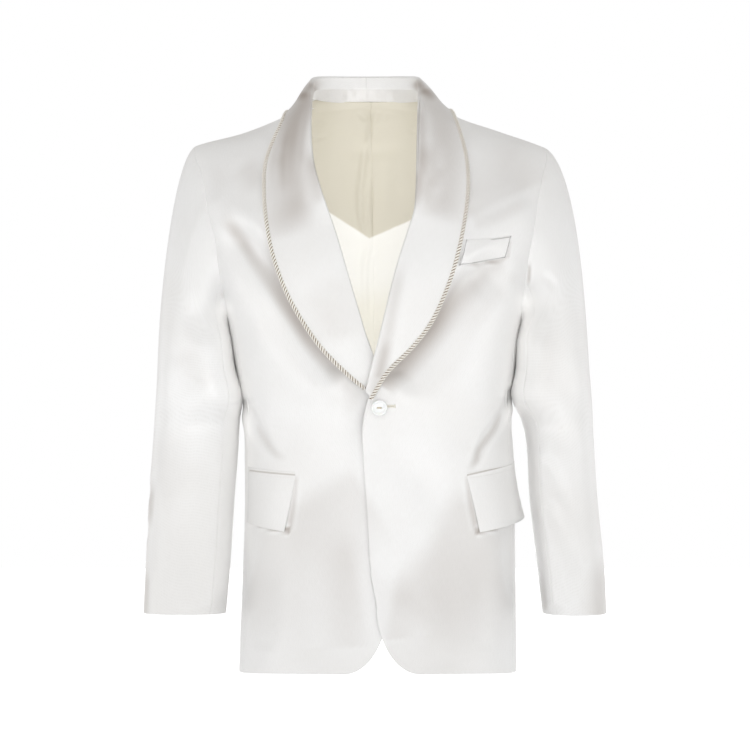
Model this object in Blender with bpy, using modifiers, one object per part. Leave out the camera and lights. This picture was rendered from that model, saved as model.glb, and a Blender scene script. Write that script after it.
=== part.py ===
# A single-button dinner jacket with a shawl collar, filled out and hollow, closed left over right.
# Metres, +Z up, the front towards -Y, the wearer's left towards +X.
# The origin lies in the middle of the body, level with the shoulder ridge beside the neck,
# where the wearer's shoulders hold the jacket up.
import math

import bmesh
import bpy
import numpy as np
from mathutils import Vector

OBJECT_NAME = "dinner_jacket"

# Walls and gaps. A panel's points lie half way through its wall.
WALL = 0.0016              # outer cloth
LINING_WALL = 0.0010
SEAM = 0.0003              # gap between two pieces that are sewn together
LAYER = WALL + 0.0005      # from the middle of one layer to the middle of the next
ARMHOLE_GAP = 0.0014       # the sleeve starts this far out from the armhole, where the cloth turns
UNDERARM_GAP = 0.0026      # the same where the sleeve folds back beside the side panel

# Body sections: height, half width, depth of the front, depth of the back, sideways lean.
BODY = (
    (-0.727, 0.1793, 0.128, 0.120, 0.0060),
    (-0.600, 0.1760, 0.126, 0.120, 0.0080),
    (-0.460, 0.1742, 0.120, 0.108, 0.0085),
    (-0.375, 0.1742, 0.120, 0.100, 0.0050),
    (-0.330, 0.1805, 0.124, 0.106, 0.0032),
    (-0.278, 0.1885, 0.130, 0.114, 0.0015),
    (-0.200, 0.2120, 0.132, 0.120, 0.0010),
    (-0.140, 0.2280, 0.130, 0.122, 0.0000),
    (-0.080, 0.2380, 0.126, 0.120, -0.0010),
    (0.060, 0.2460, 0.120, 0.116, -0.0050),
)
ROUNDNESS = 2.35           # exponent of a section: 2 is an ellipse, more is squarer
CHEST = -0.240             # below it the body is upright, above it it closes to the shoulders
FRONT_CLOSE = 2.1          # exponents of the curve that closes the front and the back
BACK_CLOSE = 2.6
SHOULDER_SEAM_Y = 0.004
NORMAL_STEP = 0.0015       # distance over which the surface's direction is read
SLOPE_FROM = -0.080        # above it the shoulder slopes enough to lie on from above

# Top of the body: distance from the middle, height on the wearer's left and on the right.
RIDGE = (
    (0.0, 0.058, 0.058),
    (0.05, 0.043, 0.043),
    (0.08, 0.0145, 0.0145),
    (0.115, -0.0038, -0.0035),
    (0.16, -0.0192, -0.0218),
    (0.2275, -0.0428, -0.0402),
    (0.27, -0.062, -0.058),
)
NECK_POINT = 0.084         # where the shoulder seam meets the neck
BACK_NECK_Z = 0.022        # neck seam at centre back

# Armhole edge of the front and back: height, distance from the middle.
ARMHOLE = ((CHEST, 0.1925), (-0.190, 0.1985), (-0.150, 0.2045), (-0.114, 0.2115),
           (-0.077, 0.2195), (-0.040, 0.2275))
UNDERARM_Z = -0.278        # lowest point of the armhole
SIDE_SEAM = 0.962          # front and back side seams, as a share of the half width

# Hem heights, and how much lower each runs at the side.
HEM_FRONT = -0.7125
HEM_FRONT_DROP = 0.0078
HEM_BACK = -0.688
HEM_BACK_DROP = 0.034
QUARTER_RISE = 0.0925      # rounded front corner
QUARTER_WIDTH = 0.0565

# Inner edge of each front, from the rounded corner up to the collar, and again from the chest
# to the neck point. Between them it runs beside the collar's fold.
# Height, x of the wearer's left front, x of the right front.
FRONT_EDGE = (
    (-0.620, 0.0035, 0.0195),
    (-0.566, -0.0040, 0.0250),
    (-0.513, -0.0070, 0.0275),
    (-0.442, -0.0120, 0.0290),
    (-0.400, -0.0130, 0.0270),
    (-0.374, -0.0080, 0.0190),
    (-0.350, 0.0015, 0.0040),
)
FOLD_INSET = 0.0075
NECK_EDGE = (
    (-0.064, 0.0670, -0.0865),
    (-0.030, 0.0710, -0.0880),
    (0.012, 0.0800, -0.0880),
)
# The right front runs inside the left one, deepest where the two collar ends cross.
TUCK_FROM, TUCK_TO = -0.048, -0.006
TUCK_BELOW, TUCK_AT_COLLAR = 0.0028, 0.0086
TUCK_LOW_Z, TUCK_HIGH_Z = -0.440, -0.375

# Collar stations from the button up to centre back: the fold, then the rope on the outer edge.
# A fold without y and every rope point lie on the body: in front where side is -1, on the
# shoulder seam where it is 0, at the back where it is 1.
# turn is how far the cloth runs on inside the fold, stand is 1 where it hangs down from it.
# fold x, fold y, fold z, rope x, rope z, side, turn, stand
COLLAR_RIGHT = (
    (0.0125, None, -0.352, -0.0100, -0.3545, -1, 0.001, 0.0),
    (0.0010, None, -0.321, -0.0300, -0.3375, -1, 0.004, 0.0),
    (-0.0110, None, -0.288, -0.0610, -0.3055, -1, 0.006, 0.0),
    (-0.0220, None, -0.250, -0.0850, -0.2720, -1, 0.006, 0.0),
    (-0.0340, None, -0.208, -0.1070, -0.2325, -1, 0.006, 0.0),
    (-0.0460, None, -0.166, -0.1240, -0.1860, -1, 0.006, 0.0),
    (-0.0580, None, -0.130, -0.1330, -0.1400, -1, 0.006, 0.0),
    (-0.0680, None, -0.100, -0.1360, -0.1000, -1, 0.006, 0.0),
    (-0.0765, -0.094, -0.068, -0.1345, -0.0700, -1, 0.007, 0.2),
    (-0.0805, -0.074, -0.032, -0.1260, -0.0430, -1, 0.009, 0.5),
    (-0.0805, -0.046, 0.006, -0.1155, -0.0180, -1, 0.011, 0.8),
    (-0.0805, -0.014, 0.034, -0.1105, None, 0, 0.012, 1.0),
    (-0.0770, 0.022, 0.0492, -0.1040, -0.0060, 1, 0.013, 1.0),
    (-0.0600, 0.048, 0.054, -0.0850, -0.0010, 1, 0.014, 1.0),
    (-0.0350, 0.063, 0.0555, -0.0500, 0.0030, 1, 0.014, 1.0),
    (-0.0090, 0.068, 0.056, -0.0090, 0.0050, 1, 0.014, 1.0),
)
COLLAR_LEFT = (
    (-0.0075, None, -0.358, -0.0025, -0.3665, -1, 0.001, 0.0),
    (0.0015, None, -0.321, 0.0180, -0.3330, -1, 0.004, 0.0),
    (0.0100, None, -0.288, 0.0500, -0.3000, -1, 0.006, 0.0),
    (0.0190, None, -0.250, 0.0740, -0.2670, -1, 0.006, 0.0),
    (0.0300, None, -0.206, 0.0950, -0.2190, -1, 0.006, 0.0),
    (0.0430, None, -0.164, 0.1080, -0.1730, -1, 0.006, 0.0),
    (0.0535, None, -0.130, 0.1160, -0.1290, -1, 0.006, 0.0),
    (0.0560, None, -0.100, 0.1190, -0.0950, -1, 0.006, 0.0),
    (0.0570, -0.096, -0.068, 0.1175, -0.0660, -1, 0.007, 0.2),
    (0.0580, -0.076, -0.032, 0.1125, -0.0410, -1, 0.009, 0.5),
    (0.0595, -0.046, 0.006, 0.1050, -0.0160, -1, 0.011, 0.8),
    (0.0610, -0.014, 0.034, 0.1000, None, 0, 0.012, 1.0),
    (0.0590, 0.022, 0.0492, 0.0935, -0.0040, 1, 0.013, 1.0),
    (0.0430, 0.048, 0.054, 0.0720, 0.0010, 1, 0.014, 1.0),
    (0.0180, 0.063, 0.0555, 0.0330, 0.0040, 1, 0.014, 1.0),
    (-0.0090, 0.068, 0.056, -0.0090, 0.0050, 1, 0.014, 1.0),
)
COLLAR_ACROSS = (0.0, 0.16, 0.42, 0.71, 1.0)   # shares of the way from fold to edge
COLLAR_CROWN = 0.006       # how far the collar stands up between its fold and its edge
CROWN_FADE = 0.65          # share of the crown lost towards the edge
CROWN_FULL_AT = 0.070      # a narrower stretch stands up less
COLLAR_LIFT = LAYER + 0.0006
FOLD_RADIUS = 0.0027
FOLD_ROLL = 0.0016         # the fold stands this far beyond the fold line
ROPE_RADIUS = 0.003
ROPE_LIFT = WALL / 2 + ROPE_RADIUS + 0.0016   # its middle above the middle of the cloth
ROPE_GAP = 0.0010
LINING_INSIDE = 0.0034     # the lining hangs this far inside the back
LINING_COLUMNS = [0, 1, 2, 3, 5, 7, 9, 10]     # the back's columns that the lining follows
LINING_SHORT = 0.003       # it ends this far before the hem and the armhole
BAND_FROM_Y = -0.012       # the band starts at the neck point on both sides
BAND_INSIDE = 0.0012       # its lower edge lies this far inside the neck seam
NECK_CLEARANCE = 0.0016

# Sleeve sections: height, middle x, half width, middle y, half depth, for each side.
SLEEVE_RIGHT = (
    (-0.300, -0.2330, 0.0450, 0.002, 0.066),
    (-0.330, -0.2315, 0.0475, -0.001, 0.063),
    (-0.365, -0.2270, 0.0535, -0.004, 0.058),
    (-0.410, -0.2288, 0.0546, -0.008, 0.049),
    (-0.500, -0.2344, 0.0546, -0.018, 0.043),
    (-0.590, -0.2388, 0.0535, -0.030, 0.039),
    (-0.646, -0.2422, 0.0522, -0.038, 0.036),
)
SLEEVE_LEFT = (
    (-0.300, 0.2355, 0.0427, 0.002, 0.070),
    (-0.330, 0.2360, 0.0440, -0.001, 0.067),
    (-0.365, 0.2340, 0.0487, -0.004, 0.062),
    (-0.410, 0.2408, 0.0438, -0.008, 0.056),
    (-0.500, 0.2464, 0.0432, -0.018, 0.052),
    (-0.590, 0.2553, 0.0420, -0.030, 0.050),
    (-0.646, 0.2592, 0.0400, -0.038, 0.048),
)
SLEEVE_ROUNDNESS = 2.2
HEAD_REACH_LEFT, HEAD_REACH_RIGHT = 0.138, 0.098   # how far the sleeve head runs on sideways
UNDERARM_REACH = 0.02      # and how far the underarm does
HEAD_FALL = 0.20           # how early the sleeve hangs straight down
END_STEP = 0.02            # height over which the sleeve's direction is read
HEAD_SLOPE = 0.62          # downward share of its direction at the shoulder
FRONT_SLEEVE_SEAM = 128    # degrees round the sleeve from its outer side, forwards
BACK_SLEEVE_SEAM = 118

# Breast welt on the left front: x and z of its lower and upper line, at both ends.
WELT = ((0.1065, -0.200, 0.1145, -0.168), (0.1370, -0.1955, 0.1440, -0.166),
        (0.1670, -0.189, 0.1735, -0.161))

POCKET_LIFT = LAYER + 0.0004
# Pockets, at the front end and at the outer end: height of the jet's top, of the flap's top and
# of its bottom, degrees round the body at the flap's top and bottom, how far it stands off.
POCKET_RIGHT = ((-0.460, -0.4665, -0.535, -56.0, -50.0, 0.0010),
                 (-0.4545, -0.4600, -0.526, -17.0, -17.0, 0.0015))
POCKET_LEFT = ((-0.4605, -0.4665, -0.536, -54.5, -47.5, 0.0010),
               (-0.4480, -0.4540, -0.521, -4.0, -2.0, 0.0120))

BUTTON_X, BUTTON_Z = 0.0080, -0.378
BUTTON_RADIUS = 0.0102
BUTTON_THICKNESS = 0.0034
BUTTON_DISH = 0.62         # height of the dished middle, as a share of the thickness
# Half section of the button, as shares of its radius and its thickness.
BUTTON_PROFILE = ((0.0, BUTTON_DISH), (0.70, BUTTON_DISH), (0.80, 1.0), (0.92, 0.97), (1.0, 0.62),
                  (0.97, 0.25), (0.80, 0.0), (0.0, 0.0))
BUTTON_HOLE = 0.0012
BUTTON_HOLE_SPACING = 0.0048
BUTTON_LIFT = 0.0026       # back of the button above the middle of the cloth
THREAD_RADIUS = 0.0007
BUTTONHOLE_X = (0.0125, 0.0275)
BUTTONHOLE_Z = -0.3763
BUTTONHOLE_WIDTH = 0.0026
BUTTONHOLE_WALL = 0.0007

# Number of steps along each grid.
BODY_ROWS = 9              # hem to chest
CHEST_ROWS = 8             # chest to shoulder
# Columns of a front from its edge to the side seam, close together at the rounded corner.
FRONT_SHARES = (0.0, 0.03, 0.10, 0.21, 0.36, 0.52, 0.68, 0.83, 0.94, 0.99, 1.0)
BACK_SHARES = (0.0, 0.18, 0.37, 0.56, 0.74, 0.90, 0.99, 1.0)
BESIDE_SEAM = 0.9985       # a row or column so near a seam that both sides meet squarely
NECK_COLUMNS = 3           # extra columns of the back, under the neck
SIDE_SHARES = (0.0, 0.05, 0.28, 0.5, 0.72, 0.95, 1.0)
SLEEVE_HEAD_ROWS = 6
SLEEVE_ROWS = 7
COLLAR_STATIONS = 31
# Columns of the sleeve panels, as shares of the way from seam to seam.
TOP_SLEEVE_SHARES = (0.0, 0.012, 0.14, 0.28, 0.39, 0.48, 0.57, 0.68, 0.84, 0.988, 1.0)
UNDER_SLEEVE_SHARES = (0.0, 0.02, 0.27, 0.5, 0.73, 0.98, 1.0)

SIDES = {"left": 1, "right": -1}


def column_curve(rows, at, column):
    """Smooth curve through one column of a table, read at the values of its first column."""
    keys = np.array([row[0] for row in rows], float)
    values = np.array([row[column] for row in rows], float)
    slopes = np.gradient(values, keys)
    at = np.clip(at, keys[0], keys[-1])
    i = np.clip(np.searchsorted(keys, at) - 1, 0, len(keys) - 2)
    step = keys[i + 1] - keys[i]
    t = (at - keys[i]) / step
    return ((2 * t**3 - 3 * t**2 + 1) * values[i] + (t**3 - 2 * t**2 + t) * step * slopes[i]
            + (3 * t**2 - 2 * t**3) * values[i + 1] + (t**3 - t**2) * step * slopes[i + 1])


def smooth_step(t):
    t = np.clip(t, 0.0, 1.0)
    return t * t * (3 - 2 * t)


def lean(z):
    return column_curve(BODY, z, 4)


def half_width(z):
    return column_curve(BODY, z, 1)


def ridge_z(x, z=0.0):
    from_middle = x - lean(z)
    return np.where(from_middle > 0, column_curve(RIDGE, np.abs(from_middle), 1),
                    column_curve(RIDGE, np.abs(from_middle), 2))


def upright_y(x, z, side, grow=0.0):
    """Depth of the body at x and z before it closes to the shoulders."""
    share = np.clip(np.abs(x - lean(z)) / (half_width(z) + grow), 0.0, 0.9995)
    depth = column_curve(BODY, z, 2 if side < 0 else 3) + grow
    return side * depth * (1 - share**ROUNDNESS) ** (1 / ROUNDNESS)


def body_y(x, z, side, grow=0.0):
    """Depth of the body's surface at x and z. side is -1 in front and 1 at the back."""
    y = upright_y(x, z, side, grow)
    rise = np.clip((z - CHEST) / (ridge_z(x) + grow - CHEST), 0.0, 1.0)
    power = FRONT_CLOSE if side < 0 else BACK_CLOSE
    open_share = (1 - rise**power) ** (1 / power)
    return y * open_share + SHOULDER_SEAM_Y * (1 - open_share)


def body_z(x, y, side, grow=0.0):
    """Height of the body's surface at x and y, where it closes to the shoulders."""
    power = FRONT_CLOSE if side < 0 else BACK_CLOSE
    top = ridge_z(x) + grow
    z = top
    for _ in range(3):
        open_share = (y - SHOULDER_SEAM_Y) / (upright_y(x, z, side, grow) - SHOULDER_SEAM_Y)
        z = CHEST + (top - CHEST) * (1 - min(max(open_share, 0.0), 1.0) ** power) ** (1 / power)
    return float(z)


def body_normal(x, z, side):
    step = NORMAL_STEP
    along_x = np.array((2 * step, body_y(x + step, z, side) - body_y(x - step, z, side), 0.0))
    along_z = np.array((0.0, body_y(x, z, side) - body_y(x, z - 2 * step, side), 2 * step))
    normal = np.cross(along_x, along_z)
    normal *= side * np.sign(normal[1])
    return normal / np.linalg.norm(normal)


def on_body(x, z, side, lift=0.0):
    """Point on the body's surface, moved out along its normal."""
    point = np.array((x, body_y(x, z, side), z), float)
    if lift:
        point = point + body_normal(x, z, side) * lift
    return point


def on_ring(angle, z, hand, lift=0.0):
    """Point round the upright part of the body, in degrees from the side, forwards negative."""
    def flat(degrees):
        cos, sin = math.cos(math.radians(degrees)), math.sin(math.radians(degrees))
        depth = column_curve(BODY, z, 2 if sin < 0 else 3)
        return np.array((lean(z) + hand * half_width(z) * cos ** (2 / ROUNDNESS),
                         depth * math.copysign(abs(sin) ** (2 / ROUNDNESS), sin), z), float)
    point = flat(angle)
    if lift:
        tangent = flat(angle + 1.5) - flat(angle - 1.5)
        normal = np.array((hand * tangent[1], -hand * tangent[0], 0.0))
        point = point + normal / np.linalg.norm(normal) * lift
    return point


def seam_angle(share):
    """Angle on a ring where it has reached a share of its half width."""
    return math.degrees(math.acos(share ** (ROUNDNESS / 2)))


def hem_z(share, side):
    if side < 0:
        return HEM_FRONT - HEM_FRONT_DROP * share**4
    return HEM_BACK - HEM_BACK_DROP * share**3


def row_shares(count):
    """Shares from the chest to the shoulder, closer together towards the shoulder, with one
    row just beside its seam."""
    even = np.linspace(0.0, 1.0, count)
    shares = 0.7 * even + 0.3 * np.sin(even * math.pi / 2)
    return np.insert(shares, count - 1, BESIDE_SEAM)


def tuck(x, z, hand):
    """How far a piece of the right front runs inside the left one."""
    if hand > 0:
        return 0.0
    depth = TUCK_BELOW + (TUCK_AT_COLLAR - TUCK_BELOW) * smooth_step(
        (z - TUCK_LOW_Z) / (TUCK_HIGH_Z - TUCK_LOW_Z))
    return float(depth * smooth_step((x - TUCK_FROM) / (TUCK_TO - TUCK_FROM)))


def pull_in(grid, gap, first_row=False, last_row=False, first_column=False, last_column=False):
    """Move the chosen edges of a grid of points inwards, along the grid."""
    grid = np.array(grid, float)

    def shift(edge, inner):
        run = inner - edge
        return edge + run * (gap / np.linalg.norm(run, axis=-1, keepdims=True))

    if first_row:
        grid[0] = shift(grid[0], grid[1])
    if last_row:
        grid[-1] = shift(grid[-1], grid[-2])
    if first_column:
        grid[:, 0] = shift(grid[:, 0], grid[:, 1])
    if last_column:
        grid[:, -1] = shift(grid[:, -1], grid[:, -2])
    return grid


def armhole_x(z):
    return column_curve(ARMHOLE, z, 1)


def front_grid(hand):
    """Front panel: rows from the hem to the shoulder, columns from the front edge outwards."""
    edge_column = 1 if hand > 0 else 2
    collar = COLLAR_LEFT if hand > 0 else COLLAR_RIGHT
    beside_fold = [(row[2], row[0] + hand * FOLD_INSET) for row in collar[1:] if row[1] is None]
    edge_table = [(row[0], row[edge_column]) for row in FRONT_EDGE] + beside_fold + [
        (row[0], row[edge_column]) for row in NECK_EDGE]
    corner_z = FRONT_EDGE[0][0]
    seam_hem = hem_z(SIDE_SEAM, -1)
    shares = np.array(FRONT_SHARES)

    def edge_x(z):
        return column_curve(edge_table, z, 1)

    def tucked(x, z):
        return on_body(x, z, -1, -tuck(x, z, hand))

    rows = []
    hem_x = edge_x(corner_z) + (lean(seam_hem) + hand * SIDE_SEAM * half_width(seam_hem)
                                - edge_x(corner_z)) * shares
    inset = np.clip(1 - np.abs(hem_x - hem_x[0]) / QUARTER_WIDTH, 0.0, 1.0)
    hem_share = np.abs(hem_x - lean(seam_hem)) / half_width(seam_hem)
    bottom = hem_z(hem_share, -1) + QUARTER_RISE * (1 - np.sqrt(1 - inset**2))
    for t in np.linspace(0.0, 1.0, BODY_ROWS + 1):
        outer_z = seam_hem + (CHEST - seam_hem) * t
        outer_x = lean(outer_z) + hand * SIDE_SEAM * half_width(outer_z)
        inner_x = edge_x(corner_z + (CHEST - corner_z) * t)
        x_row = inner_x + (outer_x - inner_x) * shares
        if t == 0.0:
            x_row = hem_x
        rows.append([tucked(x, z) for x, z in zip(x_row, bottom + (CHEST - bottom) * t)])
    top_x = lean(0.0) + hand * (NECK_POINT + (ARMHOLE[-1][1] - NECK_POINT) * shares)
    top_z = ridge_z(top_x)
    for t in row_shares(CHEST_ROWS)[1:-1]:
        z_row = CHEST + (top_z - CHEST) * t
        inner_x = edge_x(z_row[0])
        outer_x = lean(z_row[-1]) + hand * armhole_x(z_row[-1])
        x_row = inner_x + (outer_x - inner_x) * shares
        if t == BESIDE_SEAM:
            x_row = top_x
        rows.append([tucked(x, z) for x, z in zip(x_row, z_row)])
    rows.append(shoulder_row(top_x, top_z))
    return np.array(rows)


def shoulder_row(x_row, z_row):
    return [np.array((x, SHOULDER_SEAM_Y, z)) for x, z in zip(x_row, z_row)]


def back_grid(hand, lift=0.0):
    """Back panel: rows from the hem to the neck and shoulder, columns from centre back."""
    neck = np.linspace(0.0, NECK_POINT, NECK_COLUMNS + 1)[:-1]
    shoulder = NECK_POINT + (ARMHOLE[-1][1] - NECK_POINT) * np.array(BACK_SHARES)
    top = np.concatenate((neck, shoulder))
    top_x = lean(0.0) + hand * top
    top_z = ridge_z(top_x)
    top_z[:NECK_COLUMNS] = BACK_NECK_Z + (top_z[NECK_COLUMNS] - BACK_NECK_Z) * (
        neck / NECK_POINT) ** 2
    shares = top / top[-1]
    rows = []
    for t in np.linspace(0.0, 1.0, BODY_ROWS + 1):
        seam_z = hem_z(SIDE_SEAM, 1) + (CHEST - hem_z(SIDE_SEAM, 1)) * t
        width = SIDE_SEAM * half_width(seam_z)
        bottom = hem_z(shares * SIDE_SEAM, 1)
        rows.append([on_body(lean(z) + hand * width * share, z, 1, lift)
                     for share, z in zip(shares, bottom + (CHEST - bottom) * t)])
    for t in row_shares(CHEST_ROWS)[1:-1]:
        z_row = CHEST + (top_z - CHEST) * t
        x_row = lean(z_row) + hand * armhole_x(z_row[-1]) * shares
        if t == BESIDE_SEAM:
            x_row = top_x
        rows.append([on_body(x, z, 1, lift) for x, z in zip(x_row, z_row)])
    rows.append([on_body(x, z, 1, lift) for x, z in zip(top_x, top_z)])
    if lift == 0.0:
        rows[-1][NECK_COLUMNS:] = shoulder_row(top_x[NECK_COLUMNS:], top_z[NECK_COLUMNS:])
    return np.array(rows)


def side_grid(hand, front_column, back_column):
    """Side panel between the side seams of the front and the back, up to the underarm."""
    front_angle, back_angle = -seam_angle(SIDE_SEAM), seam_angle(SIDE_SEAM)
    angles = front_angle + (back_angle - front_angle) * np.array(SIDE_SHARES)
    rows = []
    for t, front_point, back_point in zip(np.linspace(0.0, 1.0, BODY_ROWS + 1),
                                          front_column, back_column):
        row = []
        for angle in angles:
            share = math.cos(math.radians(angle)) ** (2 / ROUNDNESS)
            side = -1 if angle < 0 else 1
            reach = angle / (front_angle if angle < 0 else back_angle)
            bottom = hem_z(share, side)
            if side > 0:
                bottom = hem_z(1, -1) + (hem_z(SIDE_SEAM, 1) - hem_z(1, -1)) * reach**2
            top = UNDERARM_Z + (CHEST - UNDERARM_Z) * reach**2
            row.append(on_ring(angle, bottom + (top - bottom) * t, hand))
        row[0], row[-1] = front_point, back_point
        rows.append(row)
    return np.array(rows)


def armhole_loop(front, side_panel, back):
    """Points round the armhole: shoulder, front edge, underarm, back edge, shoulder."""
    front_edge = front[BODY_ROWS:, -1][::-1]
    underarm = side_panel[-1][1:-1]
    back_edge = back[BODY_ROWS:, -1]
    return np.concatenate((front_edge, underarm, back_edge))


def sleeve_grid(hand, loop, from_angle, to_angle, shares):
    """Sleeve panel: rows from the armhole to the cuff, columns round it in degrees from the
    shoulder, forwards first."""
    sections = (SLEEVE_LEFT if hand > 0 else SLEEVE_RIGHT)[::-1]
    lengths = np.concatenate(((0.0,), np.cumsum(np.linalg.norm(np.diff(loop, axis=0), axis=1))))
    lowest = int(np.argmin(loop[:, 2]))
    around = np.where(np.arange(len(loop)) <= lowest, 180 * lengths / lengths[lowest],
                      180 + 180 * (lengths - lengths[lowest]) / (lengths[-1] - lengths[lowest]))
    table = [(angle, *point) for angle, point in zip(around, loop)]
    degrees = (from_angle + (to_angle - from_angle) * np.array(shares)) % 360
    edge = np.stack([column_curve(table, degrees, column) for column in (1, 2, 3)], axis=1)
    angles = np.radians(degrees)
    power = 2 / SLEEVE_ROUNDNESS
    cos = np.sign(np.cos(angles)) * np.abs(np.cos(angles)) ** power
    sin = np.sign(np.sin(angles)) * np.abs(np.sin(angles)) ** power

    def ring(z):
        middle_x, width, middle_y, depth = [column_curve(sections, z, i) for i in (1, 2, 3, 4)]
        return np.stack((middle_x + hand * width * cos, middle_y - depth * sin,
                         np.full(len(cos), z)), axis=1)

    first_z, cuff_z = sections[-1][0], sections[0][0]
    end = ring(first_z)
    end_run = (ring(first_z - END_STEP) - end) / END_STEP
    upper = np.clip(np.cos(angles) * 0.5 + 0.5, 0.0, 1.0)
    leave = np.stack((np.full(len(upper), float(hand)), np.zeros(len(upper)),
                      -HEAD_SLOPE * upper), axis=1)
    leave /= np.linalg.norm(leave, axis=1, keepdims=True)
    gap = UNDERARM_GAP + (ARMHOLE_GAP - UNDERARM_GAP) * upper**0.5
    start = edge + leave * gap[:, None]
    head_reach = HEAD_REACH_LEFT if hand > 0 else HEAD_REACH_RIGHT
    reach = (UNDERARM_REACH + (head_reach - UNDERARM_REACH) * upper)[:, None]
    fall = (UNDERARM_REACH + (HEAD_FALL - UNDERARM_REACH) * upper)[:, None]
    rows = []
    for t in np.linspace(0.0, 1.0, SLEEVE_HEAD_ROWS + 1):
        rows.append((2 * t**3 - 3 * t**2 + 1) * start + (t**3 - 2 * t**2 + t) * leave * reach
                    + (3 * t**2 - 2 * t**3) * end + (t**3 - t**2) * end_run * fall)
    for z in np.linspace(first_z, cuff_z, SLEEVE_ROWS + 1)[1:]:
        rows.append(ring(z))
    return np.array(rows)


def resample(points, count):
    """Evenly numbered points on a smooth curve through the given ones."""
    table = [(i, *point) for i, point in enumerate(points)]
    at = np.linspace(0.0, len(points) - 1, count)
    return np.stack([column_curve(table, at, i + 1) for i in range(len(points[0]))], axis=1)


def clear_of_body(point, grow, hand):
    """Move a point of the collar out until it lies this far outside the body."""
    x, y, z = point
    side = -1 if y < SHOULDER_SEAM_Y else 1
    grow = grow - (tuck(x, z, hand) if side < 0 else 0.0)
    surface_y = float(body_y(x, z, side, grow))
    if z >= float(ridge_z(x)) + grow or side * (y - surface_y) >= 0:
        return np.array(point)
    surface_z = body_z(x, y, side, grow)
    if z > SLOPE_FROM and surface_z - z < abs(surface_y - y):
        return np.array((x, y, surface_z))
    return np.array((x, surface_y, z))


def collar_sections(hand):
    """Cross-sections of one collar half, each from its inner end over the fold to the edge,
    and the middle of the rope beside each edge."""
    table = COLLAR_LEFT if hand > 0 else COLLAR_RIGHT
    stations = []
    for fold_x, fold_y, fold_z, rope_x, rope_z, side, turn, stand in table:
        fold = on_body(fold_x, fold_z, -1, -tuck(fold_x, fold_z, hand))
        if fold_y is not None:
            fold = np.array((fold_x, fold_y, fold_z))
        if side == 0:
            rope = np.array((rope_x, SHOULDER_SEAM_Y, float(ridge_z(rope_x)) + ROPE_LIFT))
        else:
            lift = ROPE_LIFT - (tuck(rope_x, rope_z, hand) if side < 0 else 0.0)
            rope = on_body(rope_x, rope_z, side, lift)
        stations.append((*fold, *rope, turn, stand))
    stations = resample(stations, COLLAR_STATIONS)
    on_chest = sum(1 for row in table if row[1] is None) - 1
    chest_stations = on_chest / (len(table) - 1) * (COLLAR_STATIONS - 1)
    folds, ropes = stations[:, :3], stations[:, 3:6]
    for i in range(COLLAR_STATIONS):
        if i <= chest_stations:
            x, _, z = folds[i]
            folds[i] = on_body(x, z, -1, -tuck(x, z, hand))
        ropes[i] = clear_of_body(ropes[i], ROPE_LIFT, hand)
    tangents = np.gradient(folds, axis=0)
    tangents[-1] = (-hand, 0.0, 0.0)
    sections = []
    for fold, rope, tangent, (turn, stand) in zip(folds, ropes, tangents, stations[:, 6:]):
        out = rope - fold
        span = np.linalg.norm(out)
        out /= span
        up = -hand * np.cross(tangent, out)
        up /= np.linalg.norm(up)
        down = out * (1 - stand) + np.array((0.0, 0.0, -1.0)) * stand
        down /= np.linalg.norm(down)
        section = [fold + down * turn - up * FOLD_RADIUS, fold - out * FOLD_ROLL]
        start, reach = FOLD_ROLL, span - ROPE_RADIUS - ROPE_GAP
        crown_height = COLLAR_CROWN * min(1.0, span / CROWN_FULL_AT) ** 2
        for share in COLLAR_ACROSS:
            crown = FOLD_RADIUS * (1 - share) + crown_height * math.sin(math.pi * share) * (
                1.0 - CROWN_FADE * share)
            point = fold + out * (start + (reach - start) * share) + up * crown
            section.append(clear_of_body(point, COLLAR_LIFT, hand))
        sections.append(section)
    return np.array(sections), ropes


def band_grid(collars):
    """Inner collar band, from the collar's inner ends down to the neck seam."""
    halves = [collars[name][:, 0] for name in ("right", "left")]
    behind = [half[half[:, 1] > BAND_FROM_Y] for half in halves]
    top = np.concatenate((behind[0], behind[1][:-1][::-1]))
    rows = []
    for share in (0.0, 0.5, 1.0):
        row = []
        for point in top:
            neck_z = min(BACK_NECK_Z, float(ridge_z(point[0]))) + NECK_CLEARANCE
            inward = np.array((0.0, 0.0, -2 * SEAM))
            target = np.array((point[0], point[1], neck_z))
            target[1] = max(point[1], float(body_y(point[0], neck_z - NECK_CLEARANCE, 1))
                            - BAND_INSIDE)
            row.append(point + inward + (target - point - inward) * share)
        rows.append(row)
    return np.array(rows)


def pocket_grid(hand, top_column, bottom_column, lift, columns, rows, spread=False):
    """Strip of a pocket between two height columns of its table."""
    front, outer = POCKET_LEFT if hand > 0 else POCKET_RIGHT
    grid = []
    for down in np.linspace(0.0, 1.0, rows + 1):
        row = []
        for along in np.linspace(0.0, 1.0, columns + 1):
            def blend(column):
                return front[column] + (outer[column] - front[column]) * along
            top, bottom = blend(top_column), blend(bottom_column)
            angle_top, angle_bottom = blend(3), blend(4)
            stand_off = blend(5) * down**1.5 if spread else 0.0
            angle = angle_top + (angle_bottom - angle_top) * (down if spread else 0.0)
            row.append(on_ring(angle, top + (bottom - top) * down, hand, lift + stand_off))
        grid.append(row)
    return np.array(grid)


def welt_grid(columns, rows):
    stations = np.linspace(0.0, 1.0, len(WELT))
    table = [(share,) + row for share, row in zip(stations, WELT)]
    grid = []
    for up in np.linspace(0.0, 1.0, rows + 1):
        row = []
        for along in np.linspace(0.0, 1.0, columns + 1):
            low_x, low_z, top_x, top_z = [column_curve(table, along, i) for i in (1, 2, 3, 4)]
            row.append(on_body(low_x + (top_x - low_x) * up, low_z + (top_z - low_z) * up, -1, LAYER))
        grid.append(row)
    return np.array(grid)


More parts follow.
